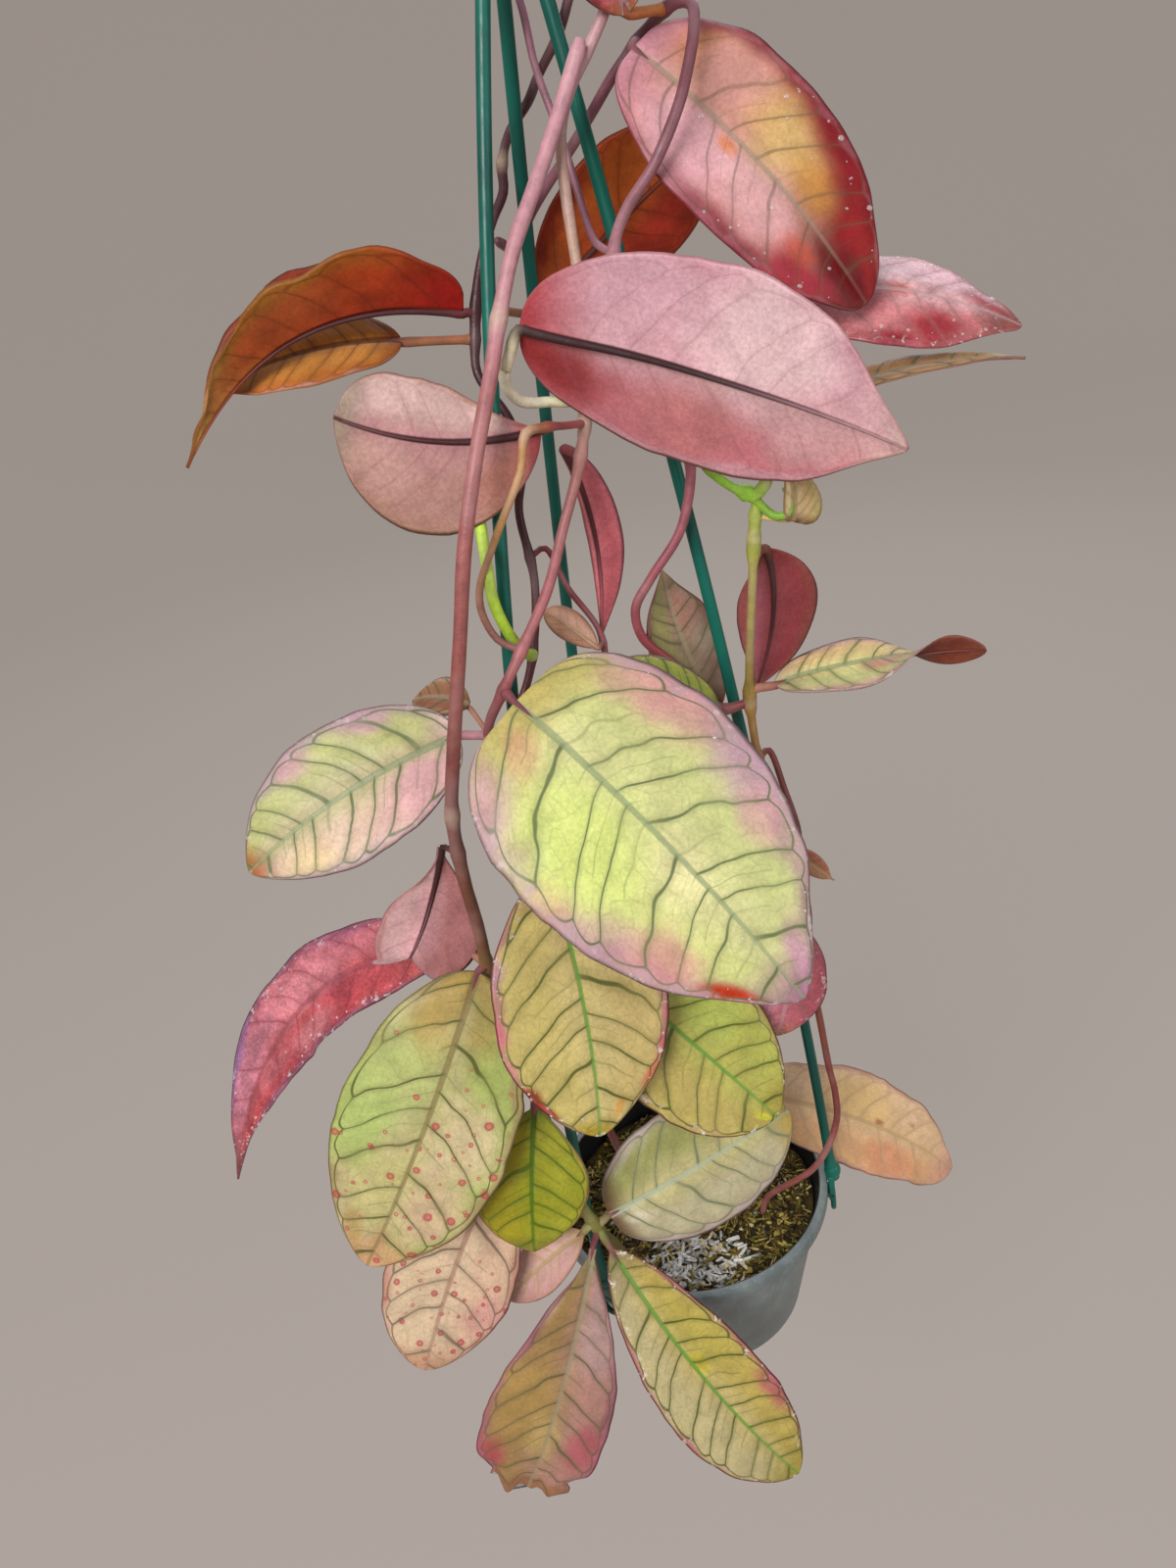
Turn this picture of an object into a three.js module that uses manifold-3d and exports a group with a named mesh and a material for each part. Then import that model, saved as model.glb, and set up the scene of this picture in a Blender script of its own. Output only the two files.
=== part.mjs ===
// A wax-flower vine, Hoya gunung gading, in a shallow plastic pot that hangs on a
// three-strand moulded hanger. Millimetres, +Z up, with the front of the plant at -Y.
//
// The origin is where the rail carries the hook. The plant is laid out in a group whose
// own origin is the centre of the pot's rim, so every height below is a height above
// the rim.
import * as THREE from 'three';
import { mergeVertices } from 'three/addons/utils/BufferGeometryUtils.js';
import Module from 'manifold-3d';

const wasm = await Module();
wasm.setup();

// Driving dimensions
const RIM_RADIUS = 60;
const POT_HEIGHT = 64;
const POT_BASE_RADIUS = 45;
const POT_WALL = 1.4;
const LIP_DEPTH = 6;
const LIP_WIDTH = 2.4;
const LIP_ROUNDING = 0.6;
const POT_ROUNDING = 1;
const FLOOR_THICKNESS = 1.6;
const FLOOR_RECESS = 1.5;
const FOOT_WIDTH = 5;
const DRAIN_HOLES = 6;
const DRAIN_RADIUS = 3.5;
const DRAIN_CIRCLE = 27;
const POT_SIDES = 32;

const MIX_LEVEL = -11;
const MIX_CLEARANCE = 0.5;
const MIX_SIDES = 20;
const MIX_LUMPS = 1.1;

const HOOK_DROP = 540;
const STRAND_RADIUS = 2;
const STRAND_APEX = 479;
const STRAND_FOOT = 62.4;
const STRAND_TOP = 452;
const STRAND_TURN = -11.4;
const STRAND_STEP = 45;
const CLIP_PLATE = 2.6;
const CLIP_WIDTH = 7;
const CLIP_HEIGHT = 14;
const CLIP_TOP = 3.5;
const CLIP_TOE = 3;
const TOE_HEIGHT = 2.2;
const BEAD_RADIUS = 3.6;
const BEAD_HEIGHT = 5;
const LOOP_RADIUS = 3.2;
const LOOP_WIRE = 1.2;
const HUB_RADIUS = 8;
const HUB_HEIGHT = 34;
const HOOK_RADIUS = 15;
const HOOK_WIRE = 2.6;

const SEAT = 0.35;
const TOUCHING = 0.01;
const BLADE_THICKNESS = 1.2;
const BLADE_ROW = 12;
const END_HALF_WIDTH = 1.5;
const PETIOLE_RADIUS = 1.4;
const SMALL_PETIOLE_RADIUS = 1;
const PETIOLE_STEP = 7;
const THICK_VINE = 2;
const VINE_STEP = 14;
const KNOB_SWELL = 1.4;

const degrees = (angle) => (angle * Math.PI) / 180;
const vector = (values) => new THREE.Vector3(...values);

// Each vine is a row of points along its middle, from its upper end down.
const VINES = {
  front: {
    radius: 2.3,
    colour: '#b4707c',
    nodes: [[-18, -38, 364], [-56, -62, 235]],
    points: [
      [14, -16, 423], [6, -20, 408], [-3, -26, 393], [-11, -32, 380], [-18, -38, 364],
      [-22, -44, 353], [-30, -54, 333], [-37, -58, 312], [-43, -60, 288], [-51, -62, 257],
      [-56, -62, 235], [-57, -62, 215], [-57, -56, 190], [-58, -47, 161], [-54, -43, 121],
      [-49, -48, 82], [-45, -54, 62], [-39, -55, 43], [-34, -45, 20], [-32, -38, 4],
      [-30, -34, -12], [-29, -32, -26],
    ],
  },
  rose: {
    radius: 1.7,
    colour: '#9c5a62',
    nodes: [[1, -24, 332]],
    points: [
      [26, -10, 446], [23, -12, 432], [16, -13, 421], [10, -14, 413], [6, -15, 404],
      [5, -17, 391], [5, -20, 375], [5, -24, 356], [1, -24, 332], [-3, -24, 319],
      [-10, -28, 304], [-17, -36, 290], [-29, -46, 274], [-35, -47, 265], [-42, -41, 251],
      [-41, -33, 238],
      [-37, -26, 195], [-38, -26, 161], [-34, -26, 115], [-30, -26, 69], [-22, -24, 26],
      [-16, -20, -12], [-15, -18, -26],
    ],
  },
  mauve: {
    radius: 1.6,
    colour: '#a9707f',
    nodes: [],
    points: [
      [-15, 9, 380], [-10, 21, 377], [-3, 23, 386], [11, 14, 401], [17, 8, 408],
      [24, 4, 416], [33, 0, 424], [39, -6, 428], [43, -13, 427], [42, -20, 421],
      [38, -26, 411], [35, -29, 405], [27, -32, 393], [19, -30, 384], [15, -28, 376],
      [14, -26, 359], [20, -20, 338], [29, -16, 321], [31, -14, 313], [26, -14, 294],
      [15, -14, 280], [9, -14, 271], [10, -14, 261], [20, -14, 249], [32, -17, 233],
      [41, -18, 231],
    ],
    lands: 'ochre',
  },
  maroon: {
    radius: 1.5,
    colour: '#4f1c22',
    nodes: [[-10, 15, 399]],
    points: [
      [20, 4, 448], [11, 7, 428], [4, 14, 419], [0, 21, 413], [-6, 22, 407], [-10, 15, 399],
      [-11, 9, 392], [-15, 5, 386], [-19, 1, 379], [-23, 0, 369], [-26, -2, 356],
      [-27, -5, 347], [-20, -8, 333], [-19, -10, 319], [-22, -10, 307], [-21, -14, 285],
      [-26, -20, 262], [-32, -24, 250], [-39, -30, 242],
    ],
    lands: 'rose',
  },
  thin_mauve: {
    radius: 1.1,
    colour: '#8d5a68',
    nodes: [],
    points: [
      [0, 18, 444], [2, 16, 435], [3, 10, 421], [5, 5, 411], [7, 1, 402], [9, -3, 390],
      [11, -9, 378], [14, -24, 366],
    ],
    lands: 'mauve',
  },
  tan: {
    radius: 1.1,
    colour: '#a5794a',
    nodes: [[-16, -45, 336]],
    points: [
      [-1, -26, 333], [-5, -33, 334], [-11, -41, 336], [-16, -45, 336], [-19, -47, 327],
      [-26, -47, 315], [-31, -45, 306], [-36, -43, 296], [-37, -42, 288], [-34, -44, 280],
      [-32, -44, 275],
    ],
    lands: 'rose',
    springs: 'rose',
  },
  crimson: {
    radius: 1.0,
    colour: '#6a2229',
    nodes: [],
    points: [
      [-21, -10, 308], [-16, -7, 293], [-11, -10, 280], [-3, -14, 264], [-6, -20, 246],
      [-20, -26, 236], [-34, -30, 232],
    ],
    lands: 'rose',
    springs: 'maroon',
  },
  ochre: {
    radius: 1.7,
    colour: '#9a6a3c',
    nodes: [[47, -21, 290], [42, -18, 234]],
    points: [
      [48, -22, 302], [47, -21, 290], [45, -22, 274], [43, -21, 255], [42, -18, 234],
      [42, -22, 220], [43, -26, 206], [48, -30, 186], [52, -30, 159], [54, -28, 128],
      [58, -22, 95], [60, -22, 74], [62, -22, 59], [62, -22, 44], [57, -24, 31],
      [50, -24, 20], [41, -22, 12], [32, -18, 2], [29, -15, -12], [28, -14, -24],
    ],
  },
  twin: {
    radius: 1.1,
    colour: '#6f3029',
    nodes: [],
    points: [
      [44, -14, 230], [47, -18, 215], [50, -24, 203], [52, -33, 190], [50, -38, 183],
    ],
    springs: 'ochre',
  },
  chartreuse: {
    radius: 1.7,
    colour: '#9fc42c',
    nodes: [],
    points: [
      [-33, -34, 313], [-33, -37, 307], [-33, -42, 301], [-33, -42, 290], [-30, -40, 278],
      [-26, -33, 269], [-25, -24, 264],
    ],
    lands: 'maroon',
  },
  stub: {
    radius: 1.5,
    colour: '#d9d3b8',
    nodes: [],
    points: [
      [0, -25, 338], [-3, -27, 339], [-8, -28, 340], [-14, -30, 341], [-17, -32, 343],
      [-19, -34, 347], [-19, -36, 351],
    ],
    springs: 'rose',
  },
  lime: {
    radius: 1.5,
    colour: '#8fc43a',
    nodes: [],
    points: [
      [36, -25, 309], [42, -24, 306], [48, -22, 304], [54, -24, 306], [59, -25, 305],
      [61, -26, 300], [57, -26, 296],
    ],
  },
  back: {
    radius: 1.6,
    colour: '#8a6a52',
    nodes: [],
    points: [[17, 10, 44], [14, 12, 20], [12, 14, -12], [12, 14, -24]],
  },
};

// A leaf lies between its base and its tip. Its upper face looks along a compass
// direction, with 0 at +X and 90 at +Y, and at a height, both in degrees. Sweep bends
// the midrib to the leaf's own left and arch lifts its middle, in millimetres; fold
// raises both halves and twist turns the tip half, in degrees. Lean makes the left half
// wider than the right one.
const LEAVES = {
  leaf_top_crimson: {
    vine: 'mauve', base: [28, -8, 420], tip: [82, -25, 351], width: 50, faces: [-75, 25],
    sweep: 1, arch: 5, fold: 6, twist: 0, widest: 0.45, blunt: 0.4, full: 0.62, drip: 0.1, lean: 0,
    colour: '#d88a94',
  },
  leaf_raised_pink: {
    vine: 'stub', base: [-13, -36, 361], tip: [77, -75, 323], width: 58, faces: [60, 15],
    sweep: 0, arch: 5, fold: 4, twist: 0, widest: 0.5, blunt: 0.4, full: 0.75, drip: 0.35, lean: 0,
    colour: '#c9929b',
  },
  leaf_right_wet: {
    vine: 'mauve', base: [44, 2, 353], tip: [127, -22, 338], width: 45, faces: [-90, 65],
    sweep: 4, arch: 7, fold: -8, twist: 0, widest: 0.55, blunt: 0.55, full: 0.75, drip: 0.3, lean: 0,
    colour: '#cf7f88',
  },
  leaf_right_thin: {
    vine: 'mauve', base: [45, -18, 317], tip: [125, -30, 331], width: 15, faces: [-90, 88],
    sweep: 0, arch: 8, fold: 4, twist: 0, widest: 0.5, blunt: 0.55, full: 0.8, drip: 0.5, lean: 0,
    colour: '#a58a5c',
  },
  leaf_back_orange: {
    vine: 'maroon', base: [-6, 31, 357], tip: [56, 30, 399], width: 42, faces: [95, 15],
    sweep: 0, arch: 5, fold: 4, twist: 0, widest: 0.52, blunt: 0.55, full: 0.6, drip: 0.2, lean: 0,
    colour: '#a14a26',
  },
  leaf_left_rust: {
    vine: 'maroon', base: [-28, -2, 364], tip: [-116, -8, 335], width: 38, faces: [0, 90],
    sweep: 2, arch: 16, fold: 55, twist: 0, widest: 0.34, blunt: 0.55, full: 1.1, drip: 0.3, lean: 0,
    colour: '#a8442a',
  },
  leaf_left_ochre: {
    vine: 'maroon', base: [-48, 8, 358], tip: [-98, 6, 355], width: 28, faces: [-90, 50],
    sweep: 0, arch: 5, fold: 4, twist: 0, widest: 0.45, blunt: 0.55, full: 0.8, drip: 0.2, lean: 0,
    colour: '#b07c2c',
  },
  leaf_left_dusky: {
    vine: 'tan', base: [-12, -38, 335], tip: [-64, -43, 349], width: 45, faces: [98, 2],
    sweep: -5, arch: 2, fold: 4, twist: 0, widest: 0.6, blunt: 0.5, full: 0.6, drip: 0, lean: -0.05,
    colour: '#bd98a0',
  },
  leaf_narrow_rose: {
    vine: 'rose', base: [-6, -14, 324], tip: [-3, -6, 260], width: 12, faces: [100, 5],
    sweep: -5, arch: 3, fold: 10, twist: 0, widest: 0.5, blunt: 0.55, full: 0.8, drip: 0.3, lean: -0.6,
    colour: '#a8505e',
  },
  leaf_pale_back: {
    vine: 'mauve', base: [34, -2, 226], tip: [20, -2, 278], width: 27, faces: [-70, 5],
    sweep: 4, arch: 3, fold: 4, twist: 0, widest: 0.5, blunt: 0.55, full: 0.8, drip: 0.3, lean: 0,
    colour: '#a9a07e',
  },
  leaf_maroon: {
    vine: 'ochre', base: [53, -12, 281], tip: [46, -8, 234], width: 27, faces: [95, 5],
    sweep: -5, arch: 3, fold: 6, twist: 0, widest: 0.5, blunt: 0.55, full: 0.8, drip: 0.2, lean: -0.2,
    colour: '#8e4450',
  },
  leaf_twisted: {
    vine: 'ochre', base: [51, -18, 239], tip: [116, -30, 244], width: 21, faces: [-90, 70],
    sweep: 2, arch: 2, fold: 0, twist: -70, widest: 0.45, blunt: 0.55, full: 0.7, drip: 0.3, lean: 0,
    colour: '#b7b27e',
  },
  leaf_large_front: {
    vine: 'rose', base: [-32, -52, 263], tip: [37, -98, 175], width: 82, faces: [-80, 35],
    sweep: 2, arch: 4, fold: -4, twist: 0, widest: 0.42, blunt: 0.33, full: 0.66, drip: 0.1, lean: 0,
    colour: '#c3cf7c',
  },
  leaf_left_two_tone: {
    vine: 'rose', base: [-52, -36, 248], tip: [-123, -50, 220], width: 44, faces: [-95, 35],
    sweep: -3, arch: 5, fold: 4, twist: 0, widest: 0.5, blunt: 0.42, full: 0.68, drip: 0, lean: 0,
    colour: '#c6c98c',
  },
  leaf_hanging_dusky: {
    vine: 'front', base: [-62, -56, 222], tip: [-82, -54, 177], width: 34, faces: [100, 0],
    sweep: -2, arch: 5, fold: 5, twist: 0, widest: 0.78, blunt: 0.55, full: 0.5, drip: 0, lean: 0,
    colour: '#b98089',
  },
  leaf_left_crimson: {
    vine: 'front', base: [-68, -40, 174], tip: [-164, -50, 94], width: 34, faces: [-120, 40],
    sweep: -25, arch: 4, fold: 6, twist: 0, widest: 0.45, blunt: 0.55, full: 0.75, drip: 0.5, lean: 0,
    colour: '#b84656',
  },
  leaf_spotted: {
    vine: 'front', base: [-61, -53, 170], tip: [-120, -76, 69], width: 62, faces: [-98, 15],
    sweep: 2, arch: 4, fold: -3, twist: 0, widest: 0.52, blunt: 0.45, full: 0.62, drip: 0, lean: 0,
    colour: '#bcc48a',
  },
  leaf_tan_green: {
    vine: 'rose', base: [-32, -51, 202], tip: [-30, -86, 122], width: 60, faces: [-70, 25],
    sweep: 2, arch: 4, fold: -3, twist: 0, widest: 0.52, blunt: 0.45, full: 0.65, drip: 0, lean: 0,
    colour: '#b8ac72',
  },
  leaf_olive_right: {
    vine: 'rose', base: [-16, -42, 148], tip: [31, -66, 97], width: 54, faces: [-75, 35],
    sweep: 0, arch: 3, fold: -3, twist: 0, widest: 0.5, blunt: 0.45, full: 0.65, drip: 0, lean: 0,
    colour: '#aeb766',
  },
  leaf_cream_low: {
    vine: 'front', base: [-34, -54, 48], tip: [39, -36, 61], width: 38, faces: [-95, 30],
    sweep: 0, arch: 3, fold: -3, twist: 0, widest: 0.5, blunt: 0.33, full: 0.65, drip: 0, lean: 0,
    colour: '#c4c6a2',
  },
  leaf_green_small: {
    vine: 'front', base: [-53, -52, 106], tip: [-62, -72, 57], width: 42, faces: [-85, 30],
    sweep: -1, arch: 3, fold: -3, twist: 0, widest: 0.58, blunt: 0.55, full: 0.7, drip: 0, lean: 0,
    colour: '#8fa035',
  },
  leaf_spotted_pale: {
    vine: 'front', base: [-71, -50, 79], tip: [-110, -83, 17], width: 49, faces: [-80, 27],
    sweep: -3, arch: 3, fold: -3, twist: 0, widest: 0.55, blunt: 0.55, full: 0.62, drip: 0, lean: 0,
    colour: '#ddb9a6',
  },
  leaf_pink_low: {
    vine: 'front', base: [-45, -58, 46], tip: [-78, -63, 22], width: 20, faces: [-110, 58],
    sweep: 0, arch: 3, fold: -3, twist: 0, widest: 0.5, blunt: 0.55, full: 0.75, drip: 0, lean: 0,
    colour: '#d9a7a4',
  },
  leaf_ragged: {
    vine: 'front', base: [-42, -63, 42], tip: [-84, -100, -44], width: 52, faces: [-85, 15],
    sweep: 2, arch: 3, fold: 3, twist: 0, widest: 0.64, blunt: 0.55, full: 0.75, drip: 0, lean: -0.08,
    colour: '#b98a6c', bites: [[0.99, 0.5, 5], [0.97, -0.8, 4], [0.9, -1.1, 3]],
  },
  leaf_low_right: {
    vine: 'front', base: [-35, -64, 41], tip: [22, -95, -66], width: 42, faces: [-73, 20],
    sweep: -4, arch: 4, fold: 3, twist: 0, widest: 0.6, blunt: 0.42, full: 0.75, drip: 0, lean: 0,
    colour: '#b7ae5f',
  },
  leaf_salmon: {
    vine: 'back', base: [24, 8, 38], tip: [120, 6, -25], width: 41, faces: [-75, 36],
    sweep: 6, arch: 6, fold: 4, twist: 0, widest: 0.5, blunt: 0.55, full: 0.7, drip: 0, lean: 0,
    colour: '#d7a077',
  },
  leaf_pink_behind: {
    vine: 'ochre', base: [50, -34, 152], tip: [38, -40, 110], width: 26, faces: [-95, 10],
    sweep: 0, arch: 2, fold: 3, twist: 0, widest: 0.5, blunt: 0.55, full: 0.7, drip: 0, lean: 0,
    colour: '#b7667a',
  },
  leaf_young_pointed: {
    vine: 'twin', base: [47, -43, 190], tip: [60, -46, 178], width: 8, faces: [-80, 35],
    sweep: 0, arch: 1, fold: 20, twist: 0, widest: 0.4, blunt: 0.55, full: 0.8, drip: 0.6, lean: 0,
    colour: '#a86a4e', small: true,
  },
  leaf_young_edge: {
    vine: 'ochre', base: [49, -46, 181], tip: [46, -48, 151], width: 12, faces: [-120, 10],
    sweep: 0, arch: 2, fold: 20, twist: 0, widest: 0.5, blunt: 0.55, full: 0.7, drip: 0, lean: 0,
    colour: '#8d8146', small: true,
  },
  leaf_young_folded: {
    vine: 'crimson', base: [-4, -21, 262], tip: [-17, -24, 279], width: 12, faces: [100, 0],
    sweep: 0, arch: 1, fold: 25, twist: 0, widest: 0.5, blunt: 0.55, full: 0.7, drip: 0.2, lean: 0,
    colour: '#c08676', small: true,
  },
  leaf_green_behind: {
    vine: 'mauve', base: [31, -23, 236], tip: [-1, -33, 262], width: 15, faces: [-60, 40],
    sweep: 0, arch: 3, fold: 3, twist: 0, widest: 0.5, blunt: 0.55, full: 0.7, drip: 0, lean: 0,
    colour: '#9aa848',
  },
  leaf_brown_behind: {
    vine: 'rose', base: [-48, -24, 252], tip: [-66, -18, 254], width: 18, faces: [-80, 70],
    sweep: 0, arch: 3, fold: 3, twist: 0, widest: 0.5, blunt: 0.55, full: 0.7, drip: 0, lean: 0,
    colour: '#a5826a', small: true,
  },
  leaf_top_young: {
    vine: 'mauve', base: [29, -14, 429], tip: [22, -26, 470], width: 24, faces: [-90, 0],
    sweep: 0, arch: 3, fold: 8, twist: 0, widest: 0.5, blunt: 0.55, full: 0.7, drip: 0, lean: 0,
    colour: '#c9717c',
  },
};

// Closed solids from geometry, and back
function toSolid(geometry) {
  geometry.deleteAttribute('normal');
  geometry.deleteAttribute('uv');
  const merged = mergeVertices(geometry, 1e-4);
  return new wasm.Manifold(new wasm.Mesh({
    numProp: 3,
    vertProperties: new Float32Array(merged.attributes.position.array),
    triVerts: new Uint32Array(merged.index.array),
  }));
}

function toGeometry(solid) {
  const mesh = solid.getMesh();
  const geometry = new THREE.BufferGeometry();
  const positions = new THREE.BufferAttribute(new Float32Array(mesh.vertProperties), 3);
  geometry.setAttribute('position', positions);
  geometry.setIndex(new THREE.BufferAttribute(new Uint32Array(mesh.triVerts), 1));
  geometry.computeVertexNormals();
  return geometry;
}

function polygon(radius, sides) {
  const corners = [];
  for (let i = 0; i < sides; i += 1) {
    const turn = (2 * Math.PI * i) / sides;
    corners.push(new THREE.Vector2(radius * Math.cos(turn), radius * Math.sin(turn)));
  }
  return new THREE.Shape(corners);
}

const smooth = (points) => new THREE.CatmullRomCurve3(points, false, 'centripetal');

const stepsOf = (curve, stepLength) => Math.max(3, Math.round(curve.getLength() / stepLength));

function tube(curve, radius, sides, stepLength) {
  return new THREE.ExtrudeGeometry(polygon(radius, sides), {
    steps: stepsOf(curve, stepLength),
    bevelEnabled: false,
    extrudePath: curve,
  });
}

function ball(centre, radius, sides, bands) {
  const sphere = new THREE.SphereGeometry(radius, sides, bands);
  sphere.translate(...centre);
  return toSolid(sphere);
}

// The point nearest to a given one on the middle line that a vine is swept along
function nearestOn(curve, point) {
  const corners = curve.getSpacedPoints(stepsOf(curve, VINE_STEP));
  const found = new THREE.Vector3();
  let best = corners[0];
  for (let i = 1; i < corners.length; i += 1) {
    new THREE.Line3(corners[i - 1], corners[i]).closestPointToPoint(point, true, found);
    if (found.distanceTo(point) < best.distanceTo(point)) {
      best = found.clone();
    }
  }
  return best;
}

// The place just off a vine's bark, or off one of its knobs, nearest to a given point
function seatOn(vineName, point) {
  const carrier = VINES[vineName];
  const middle = nearestOn(carrier.curve, point);
  const outward = point.clone().sub(middle).normalize();
  const overEnd = 0.4 * carrier.radius + SEAT;
  if (middle.distanceTo(carrier.curve.getPoint(1)) < TOUCHING) {
    return { outward, foot: middle.addScaledVector(outward, overEnd) };
  }
  const knobRadius = carrier.radius * KNOB_SWELL;
  const onKnob = carrier.nodes.some(
    (node) => nearestOn(carrier.curve, vector(node)).distanceTo(middle) < knobRadius,
  );
  const reach = (onKnob ? knobRadius : carrier.radius) + SEAT;
  return { outward, foot: middle.clone().addScaledVector(outward, reach) };
}

function makeCurve(vine) {
  const points = vine.points.map(vector);
  if (vine.springs) {
    points[0] = seatOn(vine.springs, points[1]).foot;
  }
  if (vine.lands) {
    points[points.length - 1] = seatOn(vine.lands, points[points.length - 2]).foot;
  }
  return smooth(points);
}

function makeVine(vine) {
  const sides = vine.radius > THICK_VINE ? 6 : 5;
  let solid = toSolid(tube(vine.curve, vine.radius, sides, VINE_STEP));
  for (const place of vine.nodes) {
    const centre = nearestOn(vine.curve, vector(place));
    solid = solid.add(ball(centre.toArray(), vine.radius * KNOB_SWELL, 7, 4));
  }
  return solid;
}

function smoothStep(from, to, value) {
  const x = Math.min(1, Math.max(0, (value - from) / (to - from)));
  return x * x * (3 - 2 * x);
}

// Half the blade's breadth at t, as a share of its greatest half-breadth
function outline(leaf, t) {
  const skewed = t ** (Math.log(0.5) / Math.log(leaf.widest));
  const fullness = t < leaf.widest ? leaf.blunt : leaf.full;
  const body = Math.sin(Math.PI * skewed) ** fullness;
  return body * (1 - leaf.drip * smoothStep(0.75, 1, t));
}

function bladeFrame(leaf) {
  const base = vector(leaf.base);
  const tip = vector(leaf.tip);
  const along = tip.clone().sub(base);
  const length = along.length();
  along.normalize();
  const [compass, height] = leaf.faces.map(degrees);
  const up = new THREE.Vector3(
    Math.cos(height) * Math.cos(compass),
    Math.cos(height) * Math.sin(compass),
    Math.sin(height),
  );
  up.addScaledVector(along, -up.dot(along)).normalize();
  const left = new THREE.Vector3().crossVectors(up, along);
  return { base, along, up, left, length };
}

function midrib(leaf, frame, t) {
  const bow = 4 * t * (1 - t);
  return frame.base.clone()
    .addScaledVector(frame.along, frame.length * t)
    .addScaledVector(frame.up, leaf.arch * bow)
    .addScaledVector(frame.left, leaf.sweep * bow);
}

// A point of the blade's middle surface, and the way that its upper face looks there
function bladePoint(leaf, frame, t, s) {
  const step = 0.01;
  const here = midrib(leaf, frame, t);
  const tangent = midrib(leaf, frame, t + step).sub(midrib(leaf, frame, t - step)).normalize();
  const turn = degrees(leaf.twist) * smoothStep(0.45, 1, t);
  const up = frame.up.clone().addScaledVector(tangent, -frame.up.dot(tangent)).normalize();
  up.applyAxisAngle(tangent, turn);
  const left = new THREE.Vector3().crossVectors(up, tangent);
  const share = s > 0 ? 1 + leaf.lean : 1 - leaf.lean;
  const half = Math.max(0.5 * leaf.width * outline(leaf, t) * share, END_HALF_WIDTH - t);
  const raise = degrees(leaf.fold);
  const point = here
    .addScaledVector(left, s * half * Math.cos(raise))
    .addScaledVector(up, Math.abs(s) * half * Math.sin(raise));
  return { point, up, left };
}

// Rows of corners stand closer together towards the base and the tip
function rowPlace(share) {
  return 0.3 * share + 0.35 * (1 - Math.cos(Math.PI * share));
}

function bladeGeometry(leaf, frame) {
  const rows = Math.max(4, Math.min(8, Math.round(frame.length / BLADE_ROW)));
  const columns = leaf.small ? 2 : 4;
  const across = columns + 1;
  const positions = [];
  for (const side of [1, -1]) {
    for (let row = 0; row <= rows; row += 1) {
      for (let column = 0; column <= columns; column += 1) {
        const s = 1 - (2 * column) / columns;
        const { point, up } = bladePoint(leaf, frame, rowPlace(row / rows), s);
        point.addScaledVector(up, (side * BLADE_THICKNESS) / 2);
        positions.push(...point.toArray());
      }
    }
  }
  const lower = (rows + 1) * across;
  const faces = [];
  const quad = (a, b, c, d) => faces.push(a, b, c, a, c, d);
  for (let row = 0; row < rows; row += 1) {
    for (let column = 0; column < columns; column += 1) {
      const a = row * across + column;
      faces.push(a, a + 1, a + across + 1, a, a + across + 1, a + across);
      const b = lower + a;
      faces.push(b, b + across + 1, b + 1, b, b + across, b + across + 1);
    }
    const left = row * across;
    const right = left + columns;
    quad(left, left + across, lower + left + across, lower + left);
    quad(right, lower + right, lower + right + across, right + across);
  }
  for (let column = 0; column < columns; column += 1) {
    const near = column;
    const far = rows * across + column;
    quad(near, lower + near, lower + near + 1, near + 1);
    quad(far, far + 1, lower + far + 1, lower + far);
  }
  const geometry = new THREE.BufferGeometry();
  geometry.setAttribute('position', new THREE.Float32BufferAttribute(positions, 3));
  geometry.setIndex(faces);
  return geometry;
}

function petioleCurve(leaf, frame) {
  const seat = seatOn(leaf.vine, frame.base);
  const inside = bladePoint(leaf, frame, 0.06, 0);
  const neck = bladePoint(leaf, frame, 0, 0);
  const sunk = -BLADE_THICKNESS * 0.4;
  const lead = Math.min(2, seat.foot.distanceTo(frame.base) / 3);
  return smooth([
    seat.foot,
    seat.foot.clone().addScaledVector(seat.outward, lead),
    neck.point.addScaledVector(neck.up, sunk),
    inside.point.addScaledVector(inside.up, sunk),
  ]);
}

function makeLeaf(leaf) {
  const frame = bladeFrame(leaf);
  let solid = toSolid(bladeGeometry(leaf, frame));
  const radius = leaf.small ? SMALL_PETIOLE_RADIUS : PETIOLE_RADIUS;
  solid = solid.add(toSolid(tube(petioleCurve(leaf, frame), radius, 5, PETIOLE_STEP)));
  for (const [t, s, bite] of leaf.bites ?? []) {
    const { point, up } = bladePoint(leaf, frame, t, s);
    const cutter = new THREE.CylinderGeometry(bite, bite, 10 * BLADE_THICKNESS, 8);
    cutter.applyQuaternion(
      new THREE.Quaternion().setFromUnitVectors(new THREE.Vector3(0, 1, 0), up),
    );
    cutter.translate(...point.toArray());
    solid = solid.subtract(toSolid(cutter));
  }
  return solid;
}

// Pot
function potWallRadius(z) {
  const depth = -z / POT_HEIGHT;
  const top = RIM_RADIUS - LIP_WIDTH;
  return top + (POT_BASE_RADIUS - top) * depth;
}

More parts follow.
